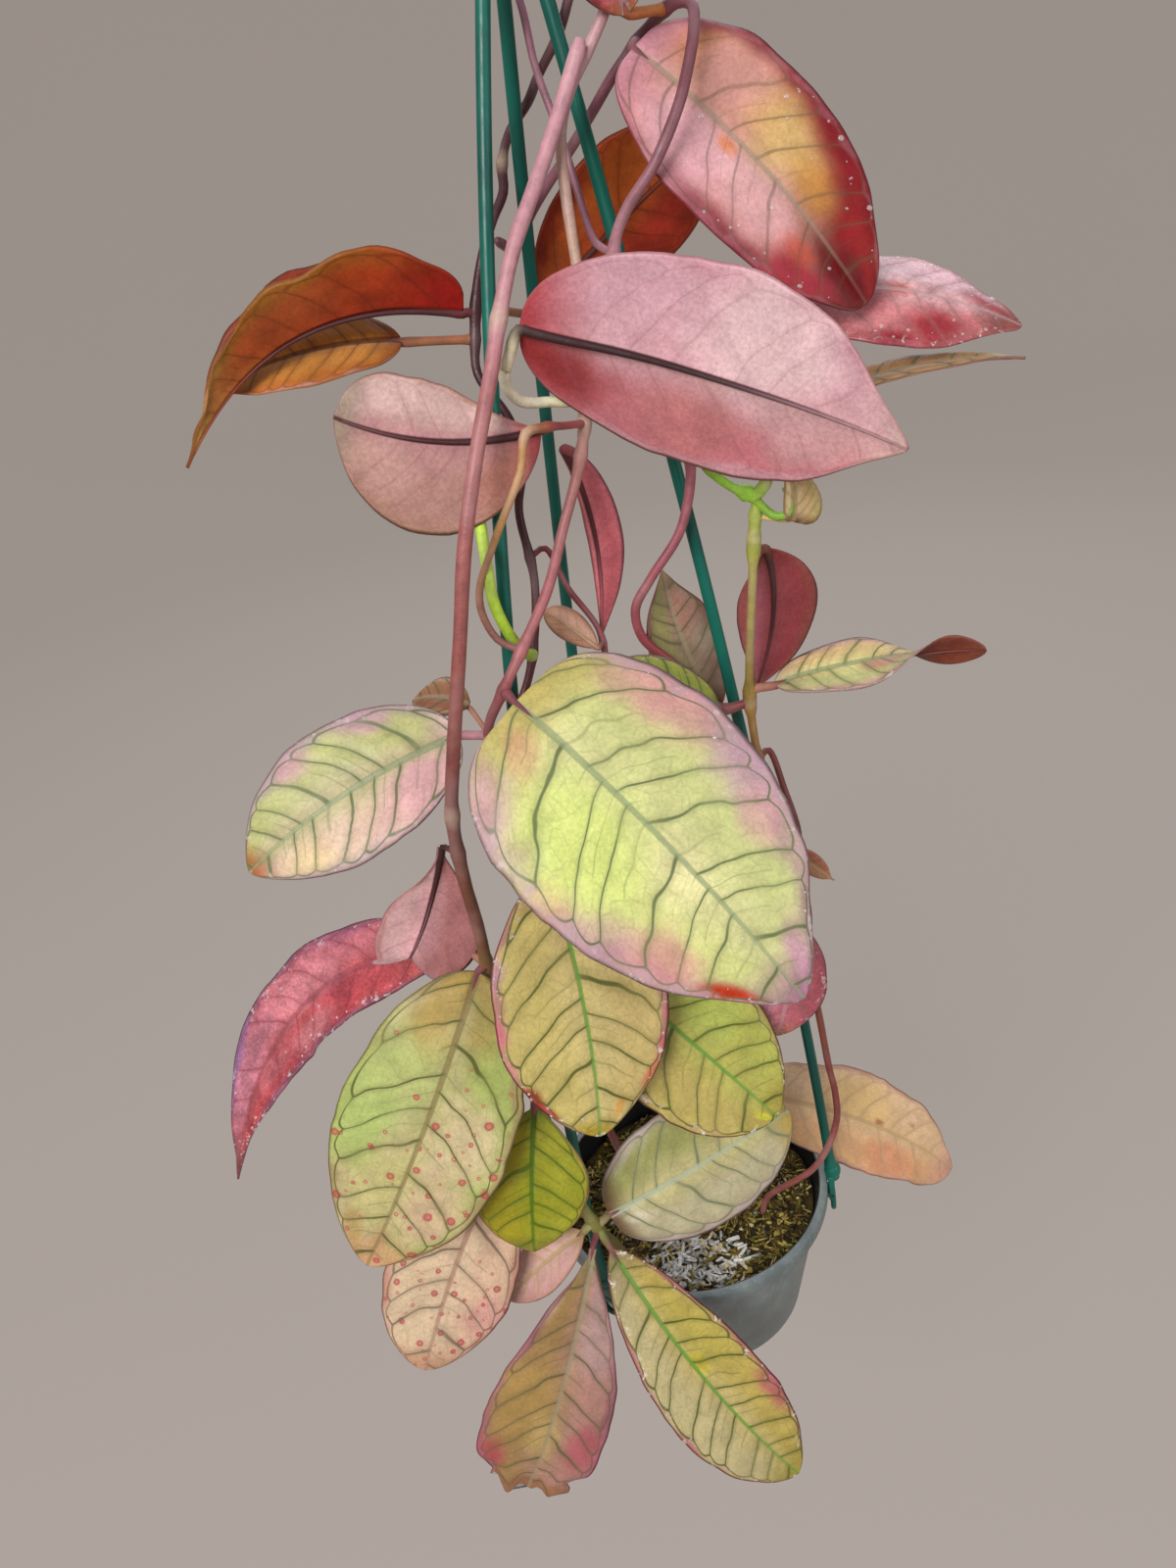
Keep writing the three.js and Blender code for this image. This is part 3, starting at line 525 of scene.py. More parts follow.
    def spots(self, graph: Graph, sheet: Field, base: Field) -> NodeSocket:
        """Lays ringed spots over a blade.

        Args:
            graph: The material's nodes.
            sheet: The flat place on the blade, in millimetres.
            base: The colour below the spots.

        Returns:
            The colour with the spots.
        """
        _, _, gain = graph.split(graph.attribute("scale", "Vector"))
        bend = graph.add("ShaderNodeTexNoise", {"Vector": sheet, "Scale": 0.7}, 1)
        bent = graph.mix(0.5, sheet, bend, "ADD")
        large = (self.spot_size, self.spot_share, 0.55)
        small = (0.45 * self.spot_size, 0.3 * self.spot_share, 0.1)
        for size, share, filled in (large, small):
            cells = {"Vector": bent, "Scale": 1.0 / size, "Randomness": 0.8}
            away = graph.add("ShaderNodeTexVoronoi", cells, "Distance", voronoi_dimensions="2D")
            tone = graph.add("ShaderNodeTexVoronoi", cells, "Color", voronoi_dimensions="2D")
            pick, width, _ = graph.split(tone)
            chosen = graph.math("LESS_THAN", pick, graph.times(gain, share))
            reach = graph.math("DIVIDE", away, graph.math("MULTIPLY_ADD", width, 0.16, 0.1))
            spot = graph.times(graph.ramp(reach, 1.25, 0.7), graph.ramp(reach, 0.35, 0.7, filled, 0.85))
            base = graph.mix(graph.times(spot, chosen), base, rgba(self.spot))
        return base


@dataclass(frozen=True)
class Patch:
    """A soft blotch of one colour on a blade's face."""

    share: float
    side: float
    size: float
    code: str
    weight: float = 0.8


@dataclass(frozen=True)
class Paint:
    """The colours that one face of a blade passes through.

    The tones are the codes of heart, left, right, edge, base and tip. Heart lies along the
    midrib, left and right lie half-way out, and edge, base and tip take the rest, each
    over its own reach.
    """

    tones: str
    edge_reach: float = 0.3
    base_reach: float = 0.16
    tip_reach: float = 0.16
    patches: tuple[Patch, ...] = ()

    NAMES = ("heart", "left", "right", "edge", "base", "tip")

    @cached_property
    def colours(self) -> dict[str, Vector]:
        """The named colours as linear ones."""
        return dict(zip(self.NAMES, palette(self.tones)))

    def at(self, share: float, side: float, where: Vector, seed: float) -> Vector:
        """Gives the colour at one place.

        Args:
            share: How far the place is from the base to the tip.
            side: How far it is to the left, from -1 to 1.
            where: The place in millimetres, for the noise.
            seed: The blade's own seed.

        Returns:
            The linear colour.
        """
        tones = self.colours
        blot = wander(where, 16.0, seed)
        fine = wander(where, 6.0, seed + 9.0)
        out = abs(side)
        flank = tones["left"].lerp(tones["right"], ease(0.35, -0.35, side + 0.12 * blot))
        shade = tones["heart"].lerp(flank, ease(0.02, 0.5, out + 0.12 * blot))
        rough = 0.13 * blot + 0.05 * fine
        rim = ease(1.02 - self.edge_reach * 1.5, 1.0 - self.edge_reach * 0.35, out + rough)
        shade = shade.lerp(tones["edge"], 0.92 * rim)
        shade = shade.lerp(tones["base"], ease(self.base_reach, 0.0, share + 0.04 * blot))
        shade = shade.lerp(tones["tip"], ease(1.0 - self.tip_reach, 1.0, share + 0.05 * blot))
        for patch in self.patches:
            off = math.hypot(share - patch.share, 0.35 * (side - patch.side)) / patch.size
            amount = patch.weight * ease(1.3, 0.4, off + 0.25 * blot + 0.2 * fine)
            shade = shade.lerp(colour(patch.code), amount)
        return shade


class Side(Enum):
    """The two faces of a blade."""

    UPPER = 0
    UNDER = 1


@dataclass(frozen=True)
class Blade:
    """A blade between its base and its tip, in millimetres.

    Its upper face looks along a compass direction, with 0 at +X and 90 at +Y, and at a
    height, both in degrees. Sweep bends the midrib to the leaf's own left and arch lifts
    its middle. Fold raises both halves and twist turns the tip half, in degrees. Lean
    makes the left half wider and skew puts its widest place nearer to the tip, wave ripples
    the margin, ragged eats into the tip and notch draws the tip's middle back. Slope and
    curl say how far the side veins run forward.
    """

    base: Point
    tip: Point
    width: float
    faces: tuple[float, float]
    sweep: float = 0.0
    arch: float = 3.0
    fold: float = -3.0
    twist: float = 0.0
    widest: float = 0.5
    blunt: float = 0.55
    full: float = 0.7
    drip: float = 0.0
    lean: float = 0.0
    pairs: float = 8.0
    quilt: float = 0.35
    wave: float = 0.7
    ragged: float = 0.0
    notch: float = 0.0
    twist_from: float = 0.45
    slope: float = 0.42
    curl: float = 0.4
    frayed: float = 0.025
    skew: float = 0.0
    full_right: float = 0.0
    small: bool = False

    THICKNESS = 0.9

    @cached_property
    def axes(self) -> tuple[Vector, Vector, Vector, float]:
        """The blade's way along, way up and way left, and its length."""
        along = Vector(self.tip) - Vector(self.base)
        length = along.length
        along.normalize()
        compass, height = (math.radians(angle) for angle in self.faces)
        flat = math.cos(height)
        up = Vector((flat * math.cos(compass), flat * math.sin(compass), math.sin(height)))
        up = (up - along * up.dot(along)).normalized()
        return along, up, up.cross(along), length

    def midrib(self, share: float) -> Vector:
        """Gives a point of the midrib's line."""
        along, up, left, length = self.axes
        bow = 4 * share * (1 - share)
        off = up * (self.arch * bow) + left * (self.sweep * bow)
        return Vector(self.base) + along * (length * share) + off

    def half(self, share: float, side: float) -> float:
        """Gives the breadth of one half.

        Args:
            share: How far from the base to the tip.
            side: Above 0 for the left half.

        Returns:
            The distance from the midrib to the margin.
        """
        widest = self.widest + (self.skew if side > 0 else -self.skew)
        skewed = min(1.0, max(0.0, share)) ** (math.log(0.5) / math.log(widest))
        full = self.full if side > 0 else self.full_right or self.full
        fullness = self.blunt if share < widest else full
        outline = max(0.0, math.sin(math.pi * skewed)) ** fullness * (1 - self.drip * ease(0.75, 1.0, share))
        lean = 1 + self.lean if side > 0 else 1 - self.lean
        spot = Vector((share * self.axes[3], 40.0 if side > 0 else 0.0, self.width))
        lean += self.frayed * (wander(spot, 16.0, 3.0) + 0.6 * wander(spot, 6.0, 8.0))
        ending = 0.32 * self.width if self.notch or self.ragged else 0.3
        return max(0.5 * self.width * outline * lean, 1.5 - 1.2 * share, ending * ease(0.9, 0.98, share))

    def row(self, share: float) -> tuple[Vector, Vector, Vector]:
        """Gives the midrib's point and the ways up and left across one row."""
        step = 0.01
        tangent = (self.midrib(share + step) - self.midrib(share - step)).normalized()
        up = self.axes[1]
        up = (up - tangent * up.dot(tangent)).normalized()
        up.rotate(Quaternion(tangent, math.radians(self.twist) * ease(self.twist_from, 1.0, share)))
        return self.midrib(share), up, up.cross(tangent)

    def phase(self, share: float, reach: float) -> float:
        """Counts the side veins from the base to a place.

        Args:
            share: How far the place is from the base to the tip.
            reach: How far it is from the midrib, in millimetres.

        Returns:
            A whole number on each vein.
        """
        forward = self.slope * reach + self.curl * reach * reach / (0.5 * self.width)
        turn = self.pairs * (share - forward / self.axes[3])
        return turn + 0.3 + 0.17 * math.sin(2.3 * turn + self.width)

    def lift(self, share: float, side: float, reach: float, seed: float) -> float:
        """Gives how far the upper face stands off the blade's middle surface.

        Args:
            share: How far the place is from the base to the tip.
            side: How far it is to the left, from -1 to 1.
            reach: Its distance from the midrib.
            seed: The blade's own seed.

        Returns:
            The height in millimetres, with the side veins and the midrib sunk in.
        """
        out = abs(side)
        offset = 0.0 if side > 0 else 0.5
        pillow = abs(math.sin(math.pi * (self.phase(share, reach) + offset))) ** 0.7
        across = ease(0.0, 0.22, out) * ease(0.98, 0.7, out)
        window = across * ease(0.0, 0.1, share) * ease(1.0, 0.9, share)
        groove = 0.45 * math.exp(-((reach / 1.5) ** 2)) * (1 - 0.7 * share)
        place = Vector((share * self.axes[3], side * 0.5 * self.width, 0.0))
        ripple = 1.6 * self.wave * out**3 * wander(place, 13.0, seed)
        swell = 0.9 * wander(place, 34.0, seed + 4.0)
        waves = (ripple + swell) * ease(0.0, 0.12, share) * ease(1.0, 0.92, share)
        return self.quilt * pillow * window - groove + waves

    def point(self, row: tuple, share: float, side: float, face: Side, seed: float) -> Vector:
        """Gives a point of the blade's skin.

        Args:
            row: The row's point and ways, from row().
            share: How far from the base to the tip.
            side: How far to the left, from -1 to 1.
            face: The face that the point is on.
            seed: The blade's own seed.

        Returns:
            The point in millimetres.
        """
        middle, up, left = row
        half = self.half(share, side)
        reach = abs(side) * half
        rise = math.radians(self.fold)
        spot = middle + left * (side * half * math.cos(rise)) + up * (reach * math.sin(rise))
        body = 0.5 * self.THICKNESS * (1.0 - abs(side) ** 6) ** 0.5
        spot += up * (self.lift(share, side, reach, seed) + (body if face is Side.UPPER else -body))
        return spot - self.axes[0] * self.pull(share, side, seed)

    def pull(self, share: float, side: float, seed: float) -> float:
        """Gives how far a place is drawn back by the torn or notched end."""
        torn = 0.5 + wander(Vector((side * 9.0, 0.0, 0.0)), 3.6, seed)
        cut = self.ragged * torn * ease(0.8, 1.0, share)
        return cut + self.notch * (1 - abs(side)) ** 1.5 * ease(0.6, 1.0, share)


class Bark:
    """The finish of stems and leaf stalks, over their painted colours."""

    def __init__(self, name: str, rough: float, coat: float, dusting: float) -> None:
        """Names the finish and sets its gloss and how dusty it is."""
        self.name, self.rough, self.coat, self.dusting = name, rough, coat, dusting

    def material(self) -> Material:
        """Builds the finish, with a dusty bloom, small scars and fine bumps."""
        graph = Graph(self.name)
        where = graph.place()
        base = graph.attribute("tint", "Color")
        dust = graph.noise(where, 0.0035, 4.0, 0.65)
        base = graph.mix(1.0, base, graph.ramp(dust, 0.25, 0.75, 0.8, 1.15), "MULTIPLY")
        scars = graph.ramp(graph.noise(where, 0.0016, 3.0, 0.75), 0.62, 0.7, 0.0, 1.6 * self.dusting)
        base = graph.mix(scars, base, rgba("#6a4038"))
        bloom = graph.ramp(graph.noise(where, 0.02, 2.0), 0.45, 0.7, 0.0, self.dusting)
        base = graph.mix(bloom, base, rgba("#cdb3b0"))
        graph.bump(graph.math("ADD", dust, graph.noise(where, 0.0007, 3.0)), 0.3, 0.0004)
        gloss = graph.ramp(dust, 0.3, 0.7, self.rough - 0.08, self.rough + 0.08)
        return graph.finish(Base_Color=base, Roughness=gloss, Coat_Weight=self.coat, Coat_Roughness=0.3)


@dataclass
class Vine:
    """A twining stem through given points, from its upper end down, in millimetres."""

    name: str
    slot: str
    radius: float
    shades: str
    points: Sequence[Point]
    nodes: Sequence[Point] = ()
    springs: str = ""
    lands: str = ""
    bulge: float = 0.36
    stands_for: str = ""
    swells: list[Vector] = field(default_factory=list)
    path: list[Vector] = field(default_factory=list)

    STEP = 2.5
    SIDES = 14
    KNOT_LENGTH = 2.6
    NODE_TONE = "#b09a80"

    def run(self, others: dict[str, "Vine"]) -> None:
        """Works out the stem's line, with its ends sunk in the stems that carry them.

        Args:
            others: The stems by name, of which the carriers have their lines.
        """
        points = [Vector(point) for point in self.points]
        if self.springs:
            points[0] = others[self.springs].nearest(points[1])
            others[self.springs].swells.append(points[0])
        if self.lands:
            points[-1] = others[self.lands].nearest(points[-2])
            others[self.lands].swells.append(points[-1])
        self.path = centripetal(points, self.STEP)
        self.swells.extend(self.nearest(Vector(node)) for node in self.nodes)

    def nearest(self, point: Vector) -> Vector:
        """Gives the point of the stem's line that lies nearest to a given one."""
        return min(self.path, key=lambda place: (place - point).length_squared).copy()

    def build(self, finish: Material) -> Object:
        """Makes the stem, swollen at its nodes and where it carries a stalk.

        Args:
            finish: The stem's material.

        Returns:
            The finished piece.
        """
        bm = bmesh.new()
        seed = float(len(self.name)) + self.radius
        radii = []
        for i, place in enumerate(self.path):
            swell = sum(math.exp(-((place - knot).length / self.KNOT_LENGTH) ** 2) for knot in self.swells)
            end = ease(-1.6, 0.9, min(i, len(self.path) - 1 - i))
            uneven = 0.06 * wander(place, 9.0, seed)
            radii.append(self.radius * end * (1 + self.bulge * min(1.0, swell) + uneven))
        tones = palette(self.shades)
        knots = [self.nearest(Vector(node)) for node in self.nodes]
        ring = colour(self.NODE_TONE)

        def shade(loop: BMLoop) -> Vector:
            """Gives the stem's colour at a corner."""
            place = loop.vert.co
            share = loop[sheet].uv.y * (len(tones) - 1) + 0.35 * wander(place, 22.0, seed)
            share = min(len(tones) - 1.001, max(0.0, share))
            tone = tones[int(share)].lerp(tones[min(len(tones) - 1, int(share) + 1)], share % 1)
            for knot in knots:
                tone = tone.lerp(ring, 0.55 * ease(2.6, 1.4, (place - knot).length - 0.6 * self.radius))
            return tone * (1 + 0.16 * wander(place, 5.0, seed + 3.0))

        sheet = bm.loops.layers.uv.verify()
        sweep(bm, self.path, radii, self.SIDES)
        tint(bm, bm.faces, shade)
        node = self.stands_for or f"stem_{self.name}"
        return add_piece(f"vine_{self.name}", bm, [finish], self.slot, [node])


@dataclass
class Leaf:
    """A leaf: its blade, its stalk and the midrib that runs on below the blade."""

    name: str
    slot: str
    vine: str
    blade: Blade
    upper: Paint
    under: Paint
    look: BladeFinish
    back: BladeFinish
    stalk: str
    rib: str
    spots: tuple[float, float, float, float] = (0.0, 1.0, 0.0, 0.0)
    rib_size: float = 1.25
    rib_fade: float = 0.75
    drops: int = 0
    stands_for: str = ""

    STALK_SIDES = 12
    RIB_ROWS = (0.0, 0.03, 0.07, 0.12, 0.2, 0.3, 0.4, 0.5, 0.6, 0.7, 0.8, 0.9, 0.96)
    SMALL_RIB = 0.75
    NEAR_MARGIN = 0.55
    STALK = 2
    WATER = 3

    @property
    def seed(self) -> float:
        """A number of the leaf's own."""
        return 0.37 * sum(ord(letter) for letter in self.name) % 31.0

    def skin(self, bm: BMesh) -> None:
        """Makes the blade as one closed skin, painted and marked for its veins.

        Args:
            bm: The mesh that the blade is added to.
        """
        blade, seed = self.blade, self.seed
        rows = max(14, min(76, round(blade.axes[3] / 1.5)))
        half = max(6, min(22, round(blade.width / 2.6)))
        shares = [0.3 * i / rows + 0.35 * (1 - math.cos(math.pi * i / rows)) for i in range(rows + 1)]
        lines = [blade.row(share) for share in shares]
        span = bm.verts.layers.float_vector.new("span")
        scale = bm.verts.layers.float_vector.new("scale")
        sheet = bm.loops.layers.uv.verify()
        veins = bm.loops.layers.uv.new("veins")
        layer = bm.loops.layers.float_color.new("tint")

        def station(round_share: float, along_share: float) -> tuple[int, float, Side]:
            """Gives the row, the way left and the face of a corner."""
            column = round(round_share * 4 * half)
            face = Side.UPPER if column <= 2 * half else Side.UNDER
            side = 1 - column / half if face is Side.UPPER else column / half - 3
            return round(along_share * rows), side, face

        def place(round_share: float, along_share: float) -> Vector:
            """Gives a corner of the blade."""
            i, side, face = station(round_share, along_share)
            return blade.point(lines[i], shares[i], side, face, seed)

        faces = lattice(bm, rows, 4 * half, place)
        known = {}
        for face in faces:
            middle = sum(loop[sheet].uv.x for loop in face.loops) / len(face.loops)
            under = middle > 0.5
            leftward = middle < 0.25 or middle > 0.75
            face.material_index = (Side.UNDER if under else Side.UPPER).value
            for loop in face.loops:
                i, side, _ = station(*loop[sheet].uv)
                share = shares[i]
                breadth = blade.half(share, 1 if leftward else -1)
                reach = abs(side) * breadth
                loop.vert[span] = (share, reach, breadth - reach)
                start, full, gain, far_gain = self.spots
                spotting = ease(start, full, share) * (gain if side > 0 else far_gain)
                loop.vert[scale] = (0.9 * blade.axes[3] / blade.pairs, blade.axes[3], spotting)
                loop[veins].uv = (blade.phase(share, reach) + (0.0 if leftward else 0.5), side)
                key = (i, round(side * half), under)
                if key not in known:
                    paint = self.under if under else self.upper
                    known[key] = paint.at(share, side, loop.vert.co, seed)
                loop[layer] = (*known[key], 1.0)

    def rachis(self, bm: BMesh, vine: Vine) -> None:
        """Makes the stalk and the midrib below the blade as one tapering run.

        Args:
            bm: The mesh that it is added to.
            vine: The stem that carries the leaf.
        """
        blade = self.blade
        base = Vector(blade.base)
        seat = vine.nearest(base)
        vine.swells.append(seat)
        outward = (base - seat).normalized()
        lead = seat + outward * (vine.radius + min(2.0, (base - seat).length / 3))
        below = []
        for share in self.RIB_ROWS:
            middle, up, _ = blade.row(share)
            middle = middle - blade.axes[0] * blade.pull(share, 0.0, self.seed)
            drop = blade.lift(share, 0.01, 0.0, self.seed) - 0.4 * blade.THICKNESS
            below.append(middle + up * (drop - 0.35 * self.rib_size * ease(0.0, 0.1, share) * (1 - share)))
        path = centripetal([seat + outward * 0.3 * vine.radius, lead, *below], 2.0)
        size = self.SMALL_RIB if blade.small else self.rib_size
        run = [0.0]
        for a, b in zip(path, path[1:]):
            run.append(run[-1] + (b - a).length)
        stalk = run[-1] - blade.axes[3]
        radii = []
        for length in run:
            share = max(0.0, (length - stalk) / blade.axes[3])
            foot = 0.3 * math.exp(-((length / 2.5) ** 2))
            joint = 0.18 * math.exp(-(((length - stalk) / 4.0) ** 2))
            radii.append(size * (1.05 + foot + joint) * (1 - 0.86 * share ** 0.7))
        first = len(bm.faces)
        sweep(bm, path, radii, self.STALK_SIDES)
        bm.faces.ensure_lookup_table()
        new = bm.faces[first:]
        sheet = bm.loops.layers.uv.verify()
        stalk_tone, rib_tone = colour(self.stalk), colour(self.rib)
        blade_tone = rib_tone.lerp(self.under.colours["heart"], self.rib_fade)

        def shade(loop: BMLoop) -> Vector:
            """Gives the stalk's colour at a corner."""
            length = run[round(loop[sheet].uv.y * (len(path) - 1))]
            tone = stalk_tone.lerp(rib_tone, ease(stalk - 3.0, stalk + 6.0, length))
            return tone.lerp(blade_tone, ease(0.5, 0.95, (length - stalk) / blade.axes[3]))

        tint(bm, new, shade)
        for face in new:
            face.material_index = self.STALK

    def wet(self, bm: BMesh) -> None:
        """Sets drops of water on the upper face, most of them near the margin.

        Args:
            bm: The mesh that they are added to.
        """
        draw = random.Random(self.name)
        upright = Vector((0.0, 0.0, 1.0))
        for _ in range(self.drops):
            share = draw.uniform(0.06, 0.94)
            near = draw.random() < self.NEAR_MARGIN
            side = draw.choice((-1.0, 1.0)) * (draw.uniform(0.72, 0.93) if near else draw.uniform(0.05, 0.8))
            size = 0.2 + 0.5 * draw.random() ** 3
            row = self.blade.row(share)
            spot = self.blade.point(row, share, side, Side.UPPER, self.seed)
            turn = upright.rotation_difference(row[1]).to_matrix().to_4x4()
            squat = Matrix.Diagonal((draw.uniform(0.9, 1.5), draw.uniform(0.9, 1.2), 0.62, 1.0))
            bead = Matrix.Translation(spot) @ turn @ squat
            made = bmesh.ops.create_uvsphere(bm, u_segments=12, v_segments=8, radius=size, matrix=bead)
            for face in {face for vert in made["verts"] for face in vert.link_faces}:
                face.material_index = self.WATER

    def build(self, vines: dict[str, Vine], finishes: dict[str, Material]) -> Object:
        """Makes the leaf.

        Args:
            vines: The stems by name.
            finishes: The materials by name.

        Returns:
            The finished piece.
        """
        bm = bmesh.new()
        self.skin(bm)
        self.rachis(bm, vines[self.vine])
        bmesh.ops.recalc_face_normals(bm, faces=bm.faces)
        looks = [finishes[self.look.name], finishes[self.back.name], finishes["stalk_skin"]]
        if self.drops:
            self.wet(bm)
            looks.append(finishes["water"])
        node = self.stands_for or f"leaf_{self.name}"
        return add_piece(f"blade_{self.name}", bm, looks, self.slot, [node])


OLIVE_VEINS = BladeFinish(
    "olive_veins", vein="#56623a", midrib="#7c8a64", vein_share=0.9, outer="#a88c92", outer_share=0.7,
    edge="#8a7470", scuff=0.35,
)
DEEP_VEINS = BladeFinish(
    "deep_veins", vein="#46501a", midrib="#5a8a34", vein_share=0.9, midrib_share=0.85, midrib_width=0.6,
    outer="#a06c70", edge="#5c2a24", edge_share=0.8, scuff=0.8,
)
TAN_VEINS = BladeFinish(
    "tan_veins", vein="#5c5438", midrib="#8a8064", vein_share=0.86, net=0.12, outer="#9c6274",
    outer_share=0.4, edge="#7c4a4c",
)
GREEN_VEINS = BladeFinish(
    "green_veins", vein="#3c5410", midrib="#3f6010", vein_share=0.75, midrib_share=0.85, midrib_width=0.7,
    outer="#806c3c", outer_share=0.2,
)
GREY_VEINS = BladeFinish(
    "grey_veins", vein="#646a4c", midrib="#9aa68c", vein_share=0.86, coat=0.12, edge="#7c6c60",
    outer="#a898a0", outer_share=0.4,
)
ROSY_VEINS = BladeFinish(
    "rosy_veins", vein="#5a4832", midrib="#8a7c68", midrib_share=0.6, vein_share=0.5, halo=0.1,
    midrib_width=0.7, midrib_end=0.2, rough=0.42, edge="#7c3840", outer="#b88490", outer_share=0.2,
)
WET_RED_VEINS = BladeFinish(
    "wet_red_veins", vein="#8a5a58", midrib="#a88888", vein_width=0.22, vein_share=0.45, coat=0.14,
    rough=0.34, mottle=0.36, speck=0.16, edge="#8a4c50", outer="#b07a86", outer_share=0.25, scuff=0.5,
)
RUST_VEINS = BladeFinish(
    "rust_veins", vein="#5e2410", midrib="#6b2f16", vein_share=0.45, halo=0.1, net=0.1, mottle=0.3,
    edge="#6c3c24", outer="#7c3a20", outer_share=0.1,
)
OCHRE_VEINS = BladeFinish(
    "ochre_veins", vein="#6c3a18", midrib="#4c2416", vein_share=0.5, net=0.1, edge="#a87850",
)
CRIMSON_VEINS = BladeFinish(
    "crimson_veins", vein="#742a38", midrib="#82404a", vein_share=0.4, midrib_share=0.5, mottle=0.42,
    speck=0.2, coat=0.15, rough=0.32, edge="#6c4450", outer="#8c5470", outer_share=0.4, scuff=0.6,
)
PEACH_VEINS = BladeFinish("peach_veins", vein="#a98a68", midrib="#a98e63", vein_share=0.5, edge="#a8785c")
SPOT_VEINS = BladeFinish(
    "spot_veins", vein="#4c5024", midrib="#76663e", vein_share=0.9, edge="#7c6c3c", outer="#98a050",
    outer_share=0.2, spot="#a83244", spot_size=8.0, spot_share=0.42,
)
SPOT_PALE_VEINS = BladeFinish(
    "spot_pale_veins", vein="#6a5c4a", midrib="#94705c", vein_share=0.88, edge="#7c5c48", outer="#bc8c88",
    spot="#a02c3c", spot_share=0.55,
)
DUSKY_BACK = BladeFinish(
    "dusky_back", vein="#8c5058", midrib="#3b1216", vein_share=0.22, midrib_share=0.95, halo=0.06,
    net=0.12, speck=0.12, rough=0.58, coat=0.03, midrib_end=0.9, edge="#8c5c5a", edge_share=0.5,
    outer_share=0.06,
)
FADING_BACK = replace(DUSKY_BACK, name="fading_back", midrib="#4a1c22", midrib_end=0.4)
ROSE_BACK = BladeFinish(
    "rose_back", vein="#8a4048", midrib="#5a2428", vein_share=0.12, midrib_share=0.8, halo=0.03, net=0.2,
    speck=0.12, rough=0.52, coat=0.06, midrib_width=0.7, edge="#7c4a48", outer_share=0.05,
)

ROSY_FACE = Paint("c08c84 c98f94 b98488 b05a66 b06a6c b8a09a")
UNDER_DUSKY = Paint("c59aa0 c9a0a4 c9a0a4 b98d90 b06a6c b8a09a")
UNDER_ROSE = Paint("a65f64 a86066 a65a60 9c5050 8a4444 a07468")
UNDER_BROWN = Paint("6e3424 743826 6b3222 7c4030 8a5a40 6a3a28")


def leaf(
    name: str, slot: str, vine: str, blade: Blade, upper: Paint, look: BladeFinish, **more: object
) -> Leaf:
    """Makes a leaf's row, with the dusky back that most of them have.

    Args:
        name: The leaf's name.
        slot: The record's material slot.
        vine: The stem that carries it.
        blade: Its blade.
        upper: The upper face's colours.
        look: The upper face's finish.
        **more: Fields that differ from the usual ones.

    Returns:
        The leaf.
    """
    usual = {"under": UNDER_DUSKY, "back": DUSKY_BACK, "stalk": "#9c6a52", "rib": "#6a3338"}
    return Leaf(name, slot, vine, blade, upper, look=look, **{**usual, **more})


